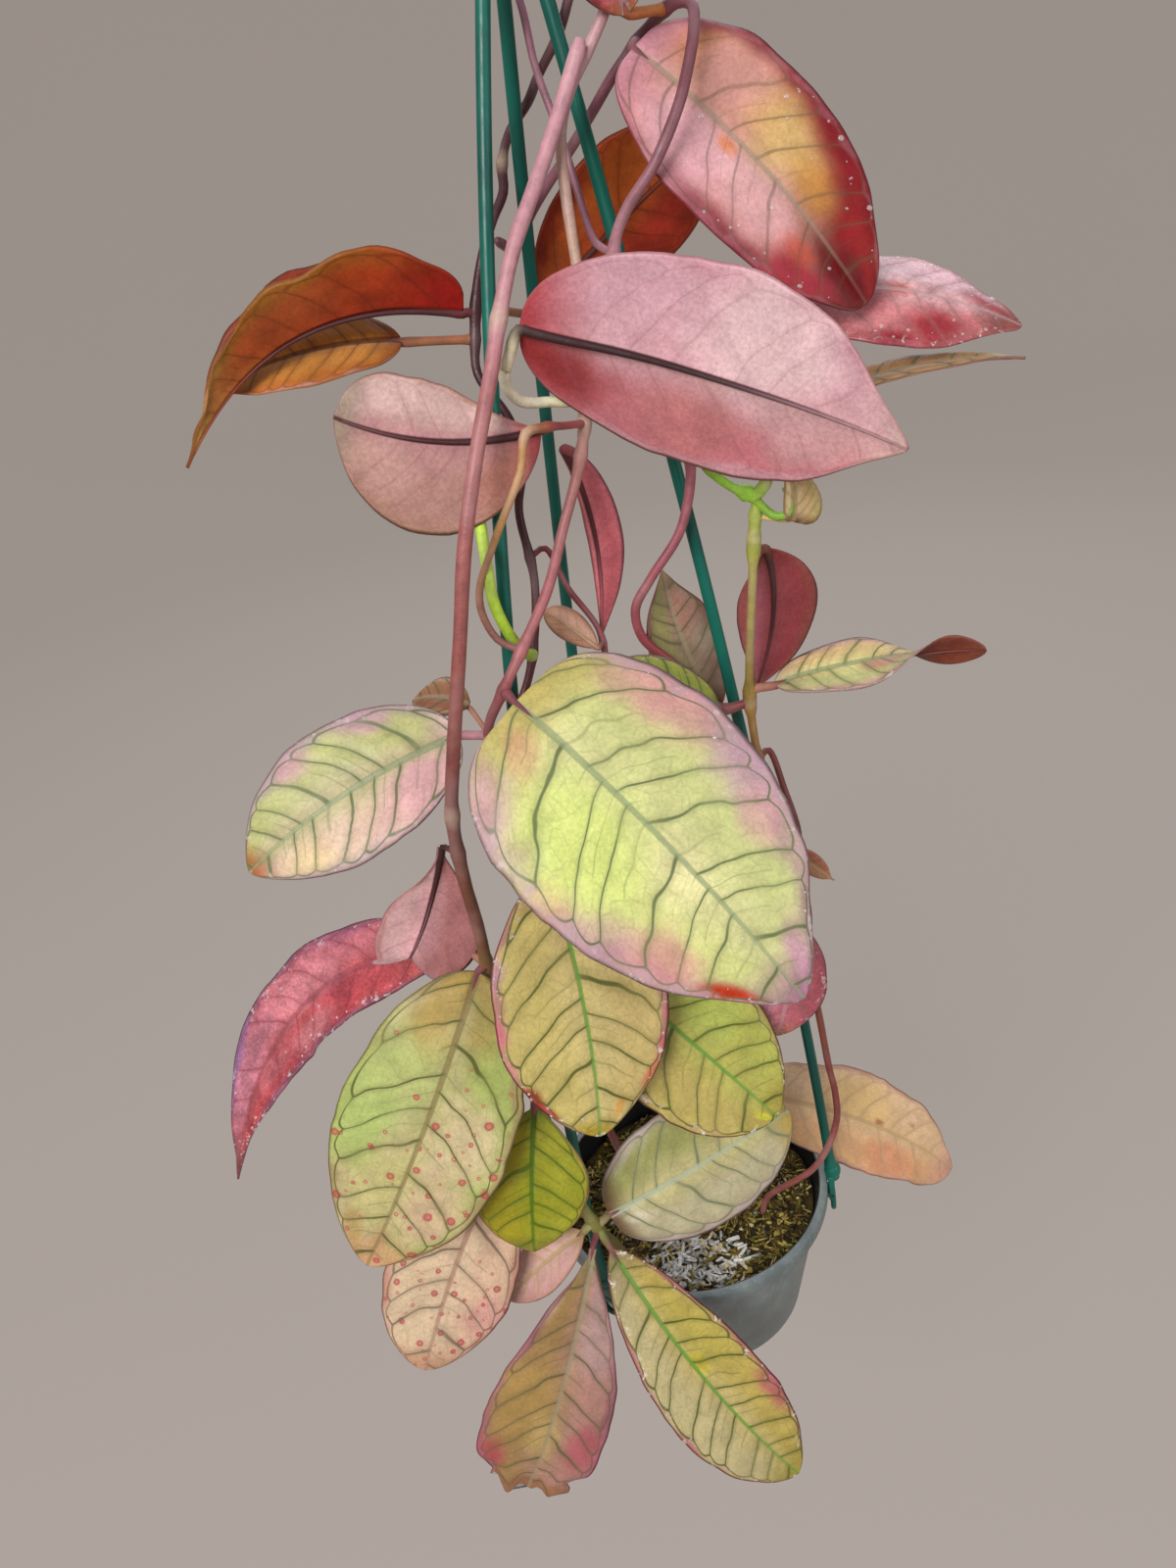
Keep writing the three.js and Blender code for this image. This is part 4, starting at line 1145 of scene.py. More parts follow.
LEAVES = [
    leaf(
        "top_crimson", "leaf_pink", "mauve",
        Blade(
            (28, -8, 420), (82, -25, 351), 50, (-75, 25), sweep=1, arch=5, fold=5, widest=0.45, blunt=0.4,
            full=0.44, drip=0.25, pairs=7.5, wave=1.0, slope=0.3,
        ),
        Paint(
            "b88676 ae724e bc7c74 7c2832 b87e8a 560002", edge_reach=0.22, tip_reach=0.44,
            patches=(
                Patch(0.3, -0.5, 0.18, "#d2a0a6"), Patch(0.55, -0.35, 0.16, "#d8a8a8", 0.7),
                Patch(0.28, 0.5, 0.14, "#c08c84"), Patch(0.5, 0.4, 0.15, "#c6a468", 0.85),
                Patch(0.66, 0.3, 0.11, "#bc8438"), Patch(0.6, 1.0, 0.16, "#780c18", 1.0),
                Patch(0.8, 0.8, 0.2, "#780610", 1.0), Patch(0.84, 0.35, 0.17, "#861010", 1.0),
                Patch(0.9, -0.1, 0.17, "#600408", 1.0), Patch(0.8, -0.8, 0.14, "#942430", 0.95),
                Patch(0.74, -0.4, 0.07, "#b8482c", 0.7), Patch(0.38, -0.15, 0.035, "#c8743c"),
            ),
        ),
        ROSY_VEINS, stalk="#a8707a", drops=46,
    ),
    leaf(
        "raised_pink", "leaf_underside", "stub",
        Blade(
            (-13, -36, 361), (77, -75, 323), 58, (60, 15), arch=5, fold=4, blunt=0.4, drip=0.35,
            quilt=0.2,
        ),
        ROSY_FACE, ROSY_VEINS,
        under=Paint(
            "cc9ea4 b86e74 c598a1 bf8c94 a43c42 c9a8a0", edge_reach=0.1, base_reach=0.2,
            patches=(
                Patch(0.62, -0.45, 0.22, "#dab9ba", 0.85), Patch(0.1, 0.45, 0.16, "#8a2c2c", 0.85),
                Patch(0.45, 0.5, 0.15, "#b4726f", 0.6), Patch(0.8, 0.3, 0.2, "#c79a9c"),
            ),
        ),
        back=FADING_BACK, stalk="#cfc4a4", rib="#2c080d", rib_size=1.4, rib_fade=0.5,
    ),
    leaf(
        "right_wet", "leaf_pink", "mauve",
        Blade(
            (44, 2, 353), (127, -22, 338), 45, (-90, 65), sweep=4, arch=7, fold=-8, widest=0.58,
            full=0.55, drip=0.45, wave=1.2,
        ),
        Paint(
            "ce9b99 d0a6ac be7474 a65455 c8969c 7c4034", edge_reach=0.2,
            patches=(
                Patch(0.74, -0.6, 0.13, "#901824", 0.9), Patch(0.5, -0.2, 0.1, "#a8444c", 0.6),
                Patch(0.88, 0.3, 0.1, "#8d1c28"), Patch(0.6, -0.95, 0.08, "#84141f", 0.9),
                Patch(0.6, 0.0, 0.05, "#b4402c", 0.7),
            ),
        ),
        WET_RED_VEINS, drops=64,
    ),
    leaf(
        "right_thin", "leaf_tan", "mauve",
        Blade(
            (45, -18, 317), (125, -30, 331), 15, (-90, 78), arch=8, fold=4, full=0.8, drip=0.5, pairs=9,
            wave=0.4,
        ),
        Paint("93704a 96744c 8f6a46 a8885a 8a7a48 b8ac98"), TAN_VEINS,
        under=Paint("94704a 93704a 8f6c46 a08058 8a7a48 b8ac98"), back=ROSE_BACK,
    ),
    leaf(
        "back_orange", "leaf_rust", "maroon",
        Blade(
            (-6, 31, 357), (56, 30, 399), 42, (95, 15), arch=5, fold=4, widest=0.52, full=0.6, drip=0.2,
        ),
        Paint("963a18 9c4020 8e3212 8a3018 8c2a1c 7a2c14"), RUST_VEINS,
        under=Paint(
            "a04420 9c3020 a85020 8a2c18 94282a 8a3a14", patches=(Patch(0.6, -0.4, 0.2, "#a8561e", 0.7),),
        ),
        back=RUST_VEINS, rib="#4a1c12",
    ),
    leaf(
        "left_rust", "leaf_rust", "maroon",
        Blade(
            (-28, -2, 364), (-116, -8, 335), 38, (0, 90), sweep=2, arch=16, fold=55, widest=0.34,
            full=1.2, drip=0.5, wave=2.0, frayed=0.08,
        ),
        Paint("98422a 9c4a28 96401e 7a2c1a 962a22 a88a58", tip_reach=0.4), RUST_VEINS,
        under=Paint(
            "a03c20 a4481e a8641e 906420 9c1c18 b8904c", tip_reach=0.42, base_reach=0.4,
            patches=(
                Patch(0.5, 0.5, 0.16, "#a4502a", 0.7), Patch(0.62, -0.4, 0.2, "#a86c24", 0.9),
                Patch(0.96, 0.0, 0.06, "#ccac94", 0.9),
            ),
        ),
        back=RUST_VEINS, rib="#43161a", stalk="#5c2026", rib_size=1.0,
    ),
    leaf(
        "left_ochre", "leaf_ochre", "maroon",
        Blade(
            (-48, 8, 358), (-106, 4, 353), 28, (-90, 50), arch=5, fold=4, widest=0.45, full=0.8, drip=0.2,
        ),
        Paint("b87a34 b07430 bc803c a8602a 8c4a20 ac7434"), OCHRE_VEINS, under=UNDER_BROWN,
        back=ROSE_BACK, stalk="#8a5432",
    ),
    leaf(
        "left_dusky", "leaf_underside", "tan",
        Blade(
            (-12, -38, 335), (-65, -43, 348), 43, (98, 2), sweep=-5, arch=2, fold=4, widest=0.6, full=0.3,
            full_right=0.85, skew=0.06, lean=-0.25, pairs=6, quilt=0.2, wave=1.2, frayed=0.06,
        ),
        ROSY_FACE, ROSY_VEINS,
        under=Paint(
            "b18181 c3a39b a98075 a9806c a84c52 958373", base_reach=0.22, edge_reach=0.12,
            patches=(Patch(0.2, -0.6, 0.16, "#a8604c", 0.5), Patch(0.75, -0.4, 0.16, "#c49c90", 0.6)),
        ),
        stalk="#8a3a34", rib="#3a1014", rib_size=1.1, rib_fade=0.2,
    ),
    leaf(
        "narrow_rose", "leaf_maroon", "rose",
        Blade(
            (-6, -14, 324), (-3, -6, 260), 12, (100, 5), sweep=-5, fold=10, full=0.8, drip=0.3, lean=-0.6,
            pairs=9, quilt=0.15, wave=0.5,
        ),
        UNDER_ROSE, ROSY_VEINS,
        under=Paint("cc7076 d87e84 bc6066 c87078 982c2c c46c6c"), back=ROSE_BACK, stalk="#8a4040",
        rib="#4e181e",
    ),
    leaf(
        "pale_back", "leaf_tan", "mauve",
        Blade(
            (34, -2, 226), (20, -2, 278), 27, (-70, 5), sweep=4, fold=4, full=0.8, drip=0.3, pairs=7,
            frayed=0.05,
        ),
        Paint(
            "8c7460 847e4c 8c7464 80604c 7e4a44 9c8460", edge_reach=0.2,
            patches=(Patch(0.75, -0.3, 0.16, "#9a6a5c", 0.7), Patch(0.5, -0.6, 0.14, "#a0907a", 0.7)),
        ),
        TAN_VEINS,
    ),
    leaf(
        "maroon", "leaf_maroon", "ochre",
        Blade(
            (52, -12, 283), (46, -8, 234), 28, (95, 5), sweep=-5, fold=6, widest=0.46, blunt=0.95,
            full=0.8, drip=0.2, lean=-0.16, pairs=7, quilt=0.15, wave=0.9,
        ),
        UNDER_ROSE, ROSY_VEINS,
        under=Paint("823e42 9c5860 84383c 84443c 6e2a22 925c54"), back=ROSE_BACK, rib="#3c1016",
        stalk="#7a4030", rib_fade=0.3,
    ),
    leaf(
        "twisted", "leaf_green", "ochre",
        Blade(
            (51, -18, 239), (116, -30, 244), 22, (-90, 66), sweep=2, arch=2, fold=0, twist=-112,
            twist_from=0.4, widest=0.42, full=0.5, drip=0.15, wave=0.5,
        ),
        Paint(
            "ccc082 cdb07c b2b278 b48782 ae9a78 b06a5c", tip_reach=0.45,
            patches=(Patch(0.55, -0.2, 0.12, "#b4746a"),),
        ),
        OLIVE_VEINS, under=UNDER_BROWN, back=ROSE_BACK,
    ),
    leaf(
        "large_front", "leaf_green", "rose",
        Blade(
            (-32, -52, 263), (37, -98, 175), 82, (-80, 35), sweep=2, arch=4, fold=-4, widest=0.42,
            blunt=0.33, full=0.66, drip=0.1, pairs=8.2, quilt=0.55, wave=1.2, slope=0.32,
        ),
        Paint(
            "c3c286 b8bc7a c2c47c a88c84 aea05c 946a7a", edge_reach=0.25, tip_reach=0.14,
            patches=(
                Patch(0.1, -0.35, 0.07, "#c07a6a", 0.5), Patch(0.55, -0.08, 0.1, "#dcd49c", 0.5),
                Patch(0.86, -0.84, 0.075, "#b03414", 1.0), Patch(0.9, 0.5, 0.1, "#c48ca4", 0.7),
                Patch(0.7, -0.75, 0.1, "#c47c84", 0.7), Patch(0.3, 0.85, 0.12, "#c08088", 0.6),
                Patch(0.5, 0.9, 0.12, "#b890a0", 0.7), Patch(0.62, 0.72, 0.08, "#cf949c", 0.6),
                Patch(0.2, 0.8, 0.1, "#c48c88", 0.6), Patch(0.55, -0.85, 0.08, "#b47c90", 0.7),
                Patch(0.4, -0.95, 0.08, "#cf8c88", 0.7), Patch(0.12, -0.8, 0.1, "#b88c90", 0.7),
                Patch(0.35, -0.45, 0.2, "#c2d070", 0.7),
            ),
        ),
        OLIVE_VEINS, stalk="#8c4a50", drops=26,
    ),
    leaf(
        "left_two_tone", "leaf_green", "rose",
        Blade(
            (-52, -36, 248), (-123, -50, 220), 44, (-95, 35), sweep=-3, arch=5, fold=4, blunt=0.42,
            full=0.68, pairs=7.5, quilt=0.45, frayed=0.04,
        ),
        Paint(
            "b4aa82 c8ac94 acac70 968880 d0aeac 984814", edge_reach=0.2, tip_reach=0.12,
            patches=(
                Patch(0.2, 0.5, 0.18, "#cf9ca0", 0.85), Patch(0.4, 0.8, 0.12, "#d0a49c", 0.6),
                Patch(0.3, -0.85, 0.1, "#b88898"), Patch(0.62, -0.8, 0.09, "#c08c98", 0.7),
                Patch(0.75, 0.6, 0.12, "#d8c088", 0.6),
            ),
        ),
        OLIVE_VEINS, stalk="#a8757c",
    ),
    leaf(
        "hanging_dusky", "leaf_underside", "front",
        Blade(
            (-62, -56, 222), (-84, -54, 175), 37, (100, 0), sweep=-3, arch=5, fold=5, widest=0.74,
            blunt=0.7, full=0.22, full_right=0.3, lean=-0.2, notch=7.0, pairs=6, quilt=0.15, wave=1.3,
            frayed=0.05,
        ),
        ROSY_FACE, ROSY_VEINS,
        under=Paint("c89496 be9795 b27876 a87470 b98c90 a88484", tip_reach=0.03, edge_reach=0.12),
        rib="#32090f", rib_size=1.0, rib_fade=0.3,
    ),
    leaf(
        "left_crimson", "leaf_crimson", "front",
        Blade(
            (-68, -40, 174), (-164, -50, 94), 34, (-120, 40), sweep=-25, arch=4, fold=6, widest=0.45,
            full=0.75, drip=0.5, pairs=9, quilt=0.5, wave=1.4, frayed=0.06,
        ),
        Paint(
            "b05c5e b1494d b3666e 845664 a2605a 584438", edge_reach=0.16, tip_reach=0.12,
            patches=(
                Patch(0.3, 0.2, 0.14, "#b04850", 0.7), Patch(0.45, -0.3, 0.16, "#c47a82"),
                Patch(0.75, -0.4, 0.16, "#b87684"), Patch(0.6, 0.5, 0.12, "#b4585e", 0.6),
                Patch(0.48, 0.6, 0.1, "#c07c80", 0.7), Patch(0.7, 0.4, 0.1, "#bc6c74", 0.7),
                Patch(0.72, -1.0, 0.12, "#7c6088"), Patch(0.3, -0.9, 0.1, "#9c5c70", 0.7),
            ),
        ),
        CRIMSON_VEINS, drops=72,
    ),
    leaf(
        "spotted", "leaf_green", "front",
        Blade(
            (-61, -53, 170), (-120, -76, 69), 62, (-98, 15), sweep=2, arch=4, fold=-3, widest=0.52,
            blunt=0.45, full=0.62, pairs=7.6, quilt=0.5, wave=1.0, slope=0.45, frayed=0.035,
        ),
        Paint(
            "aca472 a0ac60 b0a07c 98845c 66500f c0946c", edge_reach=0.1,
            patches=(
                Patch(0.72, -0.4, 0.2, "#b4ac70"), Patch(0.35, -0.6, 0.22, "#a2b064"),
                Patch(0.12, -0.4, 0.16, "#a8904e", 0.9), Patch(0.1, 0.4, 0.14, "#a08c50"),
                Patch(0.55, -0.75, 0.17, "#a2b464", 0.85), Patch(0.5, 0.5, 0.15, "#c6b08c"),
                Patch(0.75, 0.5, 0.16, "#c4a488"), Patch(0.92, 0.0, 0.09, "#b08a62", 0.7),
                Patch(0.9, -0.6, 0.08, "#a8864c", 0.6),
            ),
        ),
        SPOT_VEINS, spots=(0.1, 0.7, 1.5, 0.45),
    ),
    leaf(
        "tan_green", "leaf_tan", "rose",
        Blade(
            (-32, -51, 202), (-30, -86, 122), 60, (-70, 25), sweep=2, arch=4, fold=-3, widest=0.52,
            blunt=0.45, full=0.65, pairs=7.2, quilt=0.5, wave=1.0, frayed=0.04,
        ),
        Paint(
            "bcac70 b8a468 b8a864 a07468 a4805c a48c30", edge_reach=0.09, tip_reach=0.08,
            patches=(
                Patch(0.8, -1.0, 0.06, "#8a1414", 1.0), Patch(0.86, -0.95, 0.05, "#a02818", 0.9),
                Patch(0.7, 1.0, 0.05, "#c4606c", 0.9), Patch(0.8, 0.95, 0.05, "#c4684c"),
                Patch(0.9, 0.5, 0.04, "#c88c40", 0.7), Patch(0.3, -1.05, 0.07, "#b08090", 0.9),
                Patch(0.52, -1.05, 0.07, "#c46478", 0.9), Patch(0.66, -1.05, 0.05, "#c87880", 0.9),
                Patch(0.45, 1.05, 0.07, "#b87484", 0.9), Patch(0.6, 1.05, 0.05, "#c45c6c"),
            ),
        ),
        DEEP_VEINS, drops=20,
    ),
    leaf(
        "olive_right", "leaf_green", "rose",
        Blade(
            (-16, -42, 148), (31, -66, 97), 54, (-75, 35), blunt=0.45, full=0.55, pairs=6.4, quilt=0.45,
            frayed=0.04,
        ),
        Paint(
            "a8a452 a4a54c ae9e58 9e9150 987e5d 98883c", edge_reach=0.06,
            patches=(Patch(0.4, 0.5, 0.2, "#a0ac50", 0.7), Patch(0.95, -0.3, 0.05, "#bcb838", 0.9)),
        ),
        DEEP_VEINS,
    ),
    leaf(
        "cream_low", "leaf_cream", "front",
        Blade(
            (-34, -54, 48), (40, -38, 70), 48, (-95, 30), blunt=0.36, full=0.5, pairs=6, quilt=0.4,
            frayed=0.04,
        ),
        Paint(
            "aea672 8c8c50 a69e7c 9a8a76 5c402c ac9448", edge_reach=0.16,
            patches=(Patch(0.12, -0.3, 0.07, "#cfc4a8", 0.7),),
        ),
        GREY_VEINS, stalk="#8c8a50",
    ),
    leaf(
        "green_small", "leaf_olive", "front",
        Blade(
            (-53, -52, 106), (-62, -72, 57), 42, (-85, 30), sweep=-1, widest=0.58, pairs=6, quilt=0.45,
            frayed=0.05,
        ),
        Paint("868820 90902a 908620 a07e38 6c8018 827a30", edge_reach=0.08), GREEN_VEINS,
    ),
    leaf(
        "spotted_pale", "leaf_cream", "front",
        Blade(
            (-71, -50, 79), (-110, -83, 17), 49, (-80, 27), sweep=-3, widest=0.55, full=0.55, pairs=6,
            quilt=0.4, frayed=0.05,
        ),
        Paint(
            "c5ac8d c7a78a c2aa8a ae7f68 8e7434 b58a6b", edge_reach=0.1,
            patches=(Patch(0.7, 0.7, 0.12, "#c08880", 0.7),),
        ),
        SPOT_PALE_VEINS, spots=(0.25, 0.9, 1.7, 1.1),
    ),
    leaf(
        "pink_low", "leaf_pink", "front",
        Blade((-45, -58, 46), (-78, -63, 22), 20, (-110, 58), full=0.75, pairs=7),
        Paint("c09c90 b98e88 be9888 b07e7a 98844e a8867c"), PEACH_VEINS, stalk="#8c8a50",
    ),
    leaf(
        "ragged", "leaf_tan", "front",
        Blade(
            (-42, -63, 42), (-84, -100, -44), 50, (-85, 15), sweep=2, fold=3, widest=0.66, blunt=0.6,
            full=0.3, lean=-0.08, pairs=9, quilt=0.5, wave=1.2, ragged=7.0, frayed=0.05,
        ),
        Paint(
            "98765e 9e7468 907248 88545a 7a754c 8c6145", edge_reach=0.12, tip_reach=0.05,
            patches=(
                Patch(0.75, 0.7, 0.12, "#a04e56"), Patch(0.6, -0.5, 0.18, "#a08248"),
                Patch(0.85, -0.8, 0.1, "#a03c4c"), Patch(0.3, 0.6, 0.2, "#a88c88", 0.7),
                Patch(0.72, -0.1, 0.1, "#b09a58", 0.6),
            ),
        ),
        TAN_VEINS, stalk="#7c7440",
    ),
    leaf(
        "low_right", "leaf_olive", "front",
        Blade(
            (-35, -64, 41), (22, -95, -66), 42, (-73, 20), sweep=-4, arch=4, fold=3, widest=0.6,
            blunt=0.42, full=0.6, pairs=10.5, quilt=0.5, wave=0.9, frayed=0.035,
        ),
        Paint(
            "b2a268 ad9950 b1a476 a86468 80704c 94863c", edge_reach=0.08,
            patches=(
                Patch(0.35, 0.5, 0.2, "#a89c48", 0.7), Patch(0.7, 0.9, 0.1, "#a84a5c"),
                Patch(0.45, 0.1, 0.06, "#b8ac30", 0.7), Patch(0.6, -0.5, 0.16, "#b4a878", 0.6),
            ),
        ),
        DEEP_VEINS, stalk="#7c8440",
    ),
    leaf(
        "salmon", "leaf_salmon", "back",
        Blade(
            (24, 8, 38), (120, 6, -28), 42, (-75, 36), sweep=7, arch=6, fold=4, full_right=0.4, pairs=9,
            quilt=0.3, wave=2.0, frayed=0.08,
        ),
        Paint(
            "caa87d c9a983 c79b6d b08468 c09068 b28474", edge_reach=0.08,
            patches=(
                Patch(0.5, 0.4, 0.16, "#d2b070", 0.7), Patch(0.7, -0.6, 0.16, "#c48260", 0.7),
                Patch(0.6, 0.1, 0.02, "#8c5030"), Patch(0.74, 0.4, 0.018, "#8c5030"),
            ),
        ),
        PEACH_VEINS,
    ),
    leaf(
        "pink_behind", "leaf_maroon", "ochre",
        Blade((50, -34, 152), (38, -40, 110), 26, (-95, 10), arch=2, fold=3, pairs=6, frayed=0.06),
        Paint("b0606c a85a62 b87a84 a04c58 9a6a58 a06c4c"), WET_RED_VEINS, drops=14,
    ),
    leaf(
        "young_pointed", "leaf_rust", "twin",
        Blade(
            (47, -43, 190), (60, -46, 178), 8, (-80, 35), arch=1, fold=20, widest=0.4, full=0.8, drip=0.6,
            pairs=5, quilt=0.1, wave=0.2, small=True,
        ),
        Paint("a86a54 a4604e b07858 9c4a44 8a8a44 a8a070"), PEACH_VEINS, under=UNDER_ROSE, back=ROSE_BACK,
    ),
    leaf(
        "young_edge", "leaf_olive", "ochre",
        Blade(
            (49, -46, 181), (46, -48, 151), 12, (-120, 10), arch=2, fold=20, pairs=6, quilt=0.1, wave=0.3,
            small=True,
        ),
        Paint("84703c 7c7a36 80602e 8a4a3c 7c8a3a 8c6a44"), DEEP_VEINS,
    ),
    leaf(
        "young_folded", "leaf_salmon", "crimson",
        Blade(
            (-5, -21, 263), (-19, -24, 279), 12, (100, 0), arch=1, fold=35, blunt=0.6, full=0.6, pairs=5,
            quilt=0.1, wave=0.2, small=True,
        ),
        Paint("c08c78 b88878 c89880 b07c6c a08a58 b88878"), PEACH_VEINS,
        under=Paint("d0a08c d4a890 cc9c84 b8806c b08a68 c08c7c"), back=PEACH_VEINS, rib="#b89078",
        stalk="#8a5a50",
    ),
    leaf(
        "green_behind", "leaf_olive", "mauve",
        Blade((31, -23, 236), (-1, -33, 262), 15, (-60, 40), fold=3, pairs=6, wave=0.3),
        Paint("98a048 98a048 909a40 a89858 8a9448 a8a860"), OLIVE_VEINS,
    ),
    leaf(
        "brown_behind", "leaf_tan", "rose",
        Blade((-48, -24, 252), (-66, -18, 254), 18, (-80, 70), fold=3, pairs=5, wave=0.3, small=True),
        Paint("96604a 905236 98684a b09070 8a5038 a08068"), TAN_VEINS,
    ),
    leaf(
        "top_young", "leaf_crimson", "mauve",
        Blade((26.5, -14, 427), (14, -26, 466), 24, (-90, 0), fold=8, full=1.0, pairs=6, wave=0.4),
        Paint("b86468 b4585e b85c60 9c4048 b07044 a84c50"), WET_RED_VEINS, stalk="#b06a34", drops=8,
    ),
    leaf(
        "lime_young", "stem_green", "ochre",
        Blade(
            (58, -24, 294), (55, -29, 316), 12, (-100, 5), sweep=-2, arch=1, fold=24, widest=0.3,
            full=0.9, drip=0.3, lean=-0.4, pairs=5, quilt=0.3, wave=0.6, slope=1.2, small=True,
        ),
        Paint(
            "ecdfb0 e8d8a8 dcc08c c4bc74 50261f e0cc98", base_reach=0.28,
            patches=(Patch(0.6, -0.4, 0.04, "#c88c50", 0.7), Patch(0.5, 0.2, 0.04, "#8c9840", 0.7)),
        ),
        PEACH_VEINS, stalk="#d0b878", stands_for="stem_lime",
    ),
]

VINES = [
    Vine(
        "front", "stem_rose", 2.05,
        "b5828a ac787e 985a58 80403a 60302a 70442c 747434 84883c 6c5c30 6c5030",
        [
            (14, -16, 423), (6, -20, 408), (-3, -26, 393), (-11, -32, 380), (-18, -38, 364),
            (-22, -44, 353), (-30, -54, 333), (-37, -58, 312), (-43, -60, 288), (-51, -62, 257),
            (-56, -62, 235), (-57, -62, 215), (-57, -56, 190), (-58, -47, 161), (-54, -43, 121),
            (-49, -48, 82), (-45, -54, 62), (-39, -55, 43), (-34, -45, 20), (-32, -38, 4),
            (-30, -34, -12), (-29, -32, -26),
        ],
        nodes=[(-18, -38, 364), (-56, -62, 235)], bulge=0.22,
    ),
    Vine(
        "rose", "stem_rose", 1.55, "b08088 b0907c 9c5a5c 843c40 7c3c3c 7c4a3c 7c5040",
        [
            (26, -10, 446), (23, -12, 432), (16, -13, 421), (10, -14, 413), (6, -15, 404), (5, -17, 391),
            (5, -20, 375), (5, -24, 356), (1, -24, 332), (-3, -24, 319), (-10, -28, 304), (-17, -36, 290),
            (-29, -46, 274), (-35, -47, 265), (-42, -41, 251), (-41, -33, 238), (-37, -26, 195),
            (-38, -26, 161), (-34, -26, 115), (-30, -26, 69), (-22, -24, 26), (-16, -20, -12),
            (-15, -18, -26),
        ],
        nodes=[(1, -24, 332)],
    ),
    Vine(
        "ochre", "stem_tan", 1.35,
        "98ac3c 948a40 846c30 9c6c2c 986a30 845438 7c4430 74382c 743430 7c3c34 8c5048 94584c",
        [
            (49, -22, 305), (47, -21, 290), (45, -22, 274), (43, -21, 255), (42, -18, 234),
            (42, -22, 220), (43, -26, 206), (48, -30, 186), (52, -30, 159), (54, -28, 128), (58, -22, 95),
            (60, -22, 74), (62, -22, 59), (62, -22, 44), (57, -24, 31), (50, -24, 20), (41, -22, 12),
            (32, -18, 2), (29, -15, -12), (28, -14, -24),
        ],
        nodes=[(47, -21, 290), (42, -18, 234)], bulge=0.7,
    ),
    Vine(
        "back", "stem_tan", 1.6, "8a6a52 7c5a44",
        [(17, 10, 44), (14, 12, 20), (12, 14, -12), (12, 14, -24)],
    ),
    Vine(
        "lime", "stem_green", 1.35, "7ca028 8cc030 98cc38 84b030 7cac34 98c060",
        [
            (33, -27, 315), (40, -25, 308), (44, -23, 305), (47, -22, 303), (51, -23, 298),
            (54, -24, 296), (57, -25, 297), (58, -26, 301), (56, -27, 305),
        ],
        bulge=1.0, swells=[Vector((45.5, -22.5, 304.0))],
    ),
    Vine(
        "lime_arm", "stem_green", 1.9, "98c83c a8c854 c0b888",
        [(46, -22, 302), (49, -23, 304), (52, -25, 308)], stands_for="stem_lime",
    ),
    # The maroon stem's tones darken to near black along the stretch that runs behind and inside the plant:
    # partly its own dark red, partly painted shade.
    Vine(
        "maroon", "stem_maroon", 1.35, "50222a 3c1218 380f14 44161a 5c2224",
        [
            (20, 4, 448), (11, 7, 428), (4, 14, 419), (0, 21, 413), (-6, 22, 407), (-10, 15, 399),
            (-11, 9, 392), (-15, 5, 386), (-19, 1, 379), (-23, 0, 369), (-26, -2, 356), (-27, -5, 347),
            (-20, -8, 333), (-19, -10, 319), (-22, -10, 307), (-21, -14, 285), (-26, -20, 262),
            (-32, -24, 250), (-39, -30, 242),
        ],
        nodes=[(-10, 15, 399)], lands="rose",
    ),
    Vine(
        "mauve", "stem_mauve", 1.5, "7c4854 84505c 64323a a46c76 9c5c66 7c3034 742c2c",
        [
            (-15, 9, 380), (-10, 21, 377), (-3, 23, 386), (11, 14, 401), (17, 8, 408), (24, 4, 416),
            (33, 0, 424), (39, -6, 428), (43, -13, 427), (42, -20, 421), (38, -26, 411), (35, -29, 405),
            (27, -32, 393), (19, -30, 384), (15, -28, 376), (14, -26, 359), (20, -20, 338),
            (29, -16, 321), (31, -14, 313), (26, -14, 294), (15, -14, 280), (9, -14, 271), (10, -14, 261),
            (20, -14, 249), (32, -17, 233), (41, -18, 231),
        ],
        lands="ochre",
    ),
    Vine(
        "thin_mauve", "stem_mauve", 1.1, "8d5a68 94606c",
        [
            (0, 18, 444), (2, 16, 435), (3, 10, 421), (5, 5, 411), (7, 1, 402), (9, -3, 390),
            (11, -9, 378), (14, -24, 366),
        ],
        lands="mauve",
    ),
    Vine(
        "tan", "stem_tan", 1.1, "9c3a38 8c3a38 a8804c a0743c 8a5a48 7c4a4a",
        [
            (-1, -26, 333), (-5, -33, 334), (-11, -41, 336), (-16, -45, 336), (-19, -47, 327),
            (-26, -47, 315), (-31, -45, 306), (-36, -43, 296), (-37, -42, 288), (-34, -44, 280),
            (-32, -44, 275),
        ],
        nodes=[(-16, -45, 336)], lands="rose", springs="rose",
    ),
    Vine(
        "crimson", "stem_maroon", 1.0, "6a2229 7a2a2e 6a2229",
        [
            (-21, -10, 308), (-16, -7, 293), (-11, -10, 280), (-3, -14, 264), (-6, -20, 246),
            (-20, -26, 236), (-34, -30, 232),
        ],
        lands="rose", springs="maroon",
    ),
    Vine(
        "twin", "stem_maroon", 1.1, "7c3a34 6f3029",
        [(44, -14, 230), (47, -18, 215), (50, -24, 203), (52, -33, 190), (50, -38, 183)], springs="ochre",
    ),
    Vine(
        "chartreuse", "stem_green", 1.7, "a4c830 a8cc34 9cbc30",
        [
            (-33, -30, 320), (-33, -36, 309), (-33, -42, 301), (-33, -42, 290), (-30, -40, 278),
            (-26, -33, 269), (-25, -24, 264),
        ],
        lands="maroon",
    ),
    Vine(
        "stub", "stem_cream", 1.5, "b8b878 d4cdae d9d3b8",
        [
            (0, -25, 338), (-3, -27, 339), (-8, -28, 340), (-14, -30, 341), (-17, -32, 343),
            (-19, -34, 347), (-19, -36, 351),
        ],
        springs="rose",
    ),
]


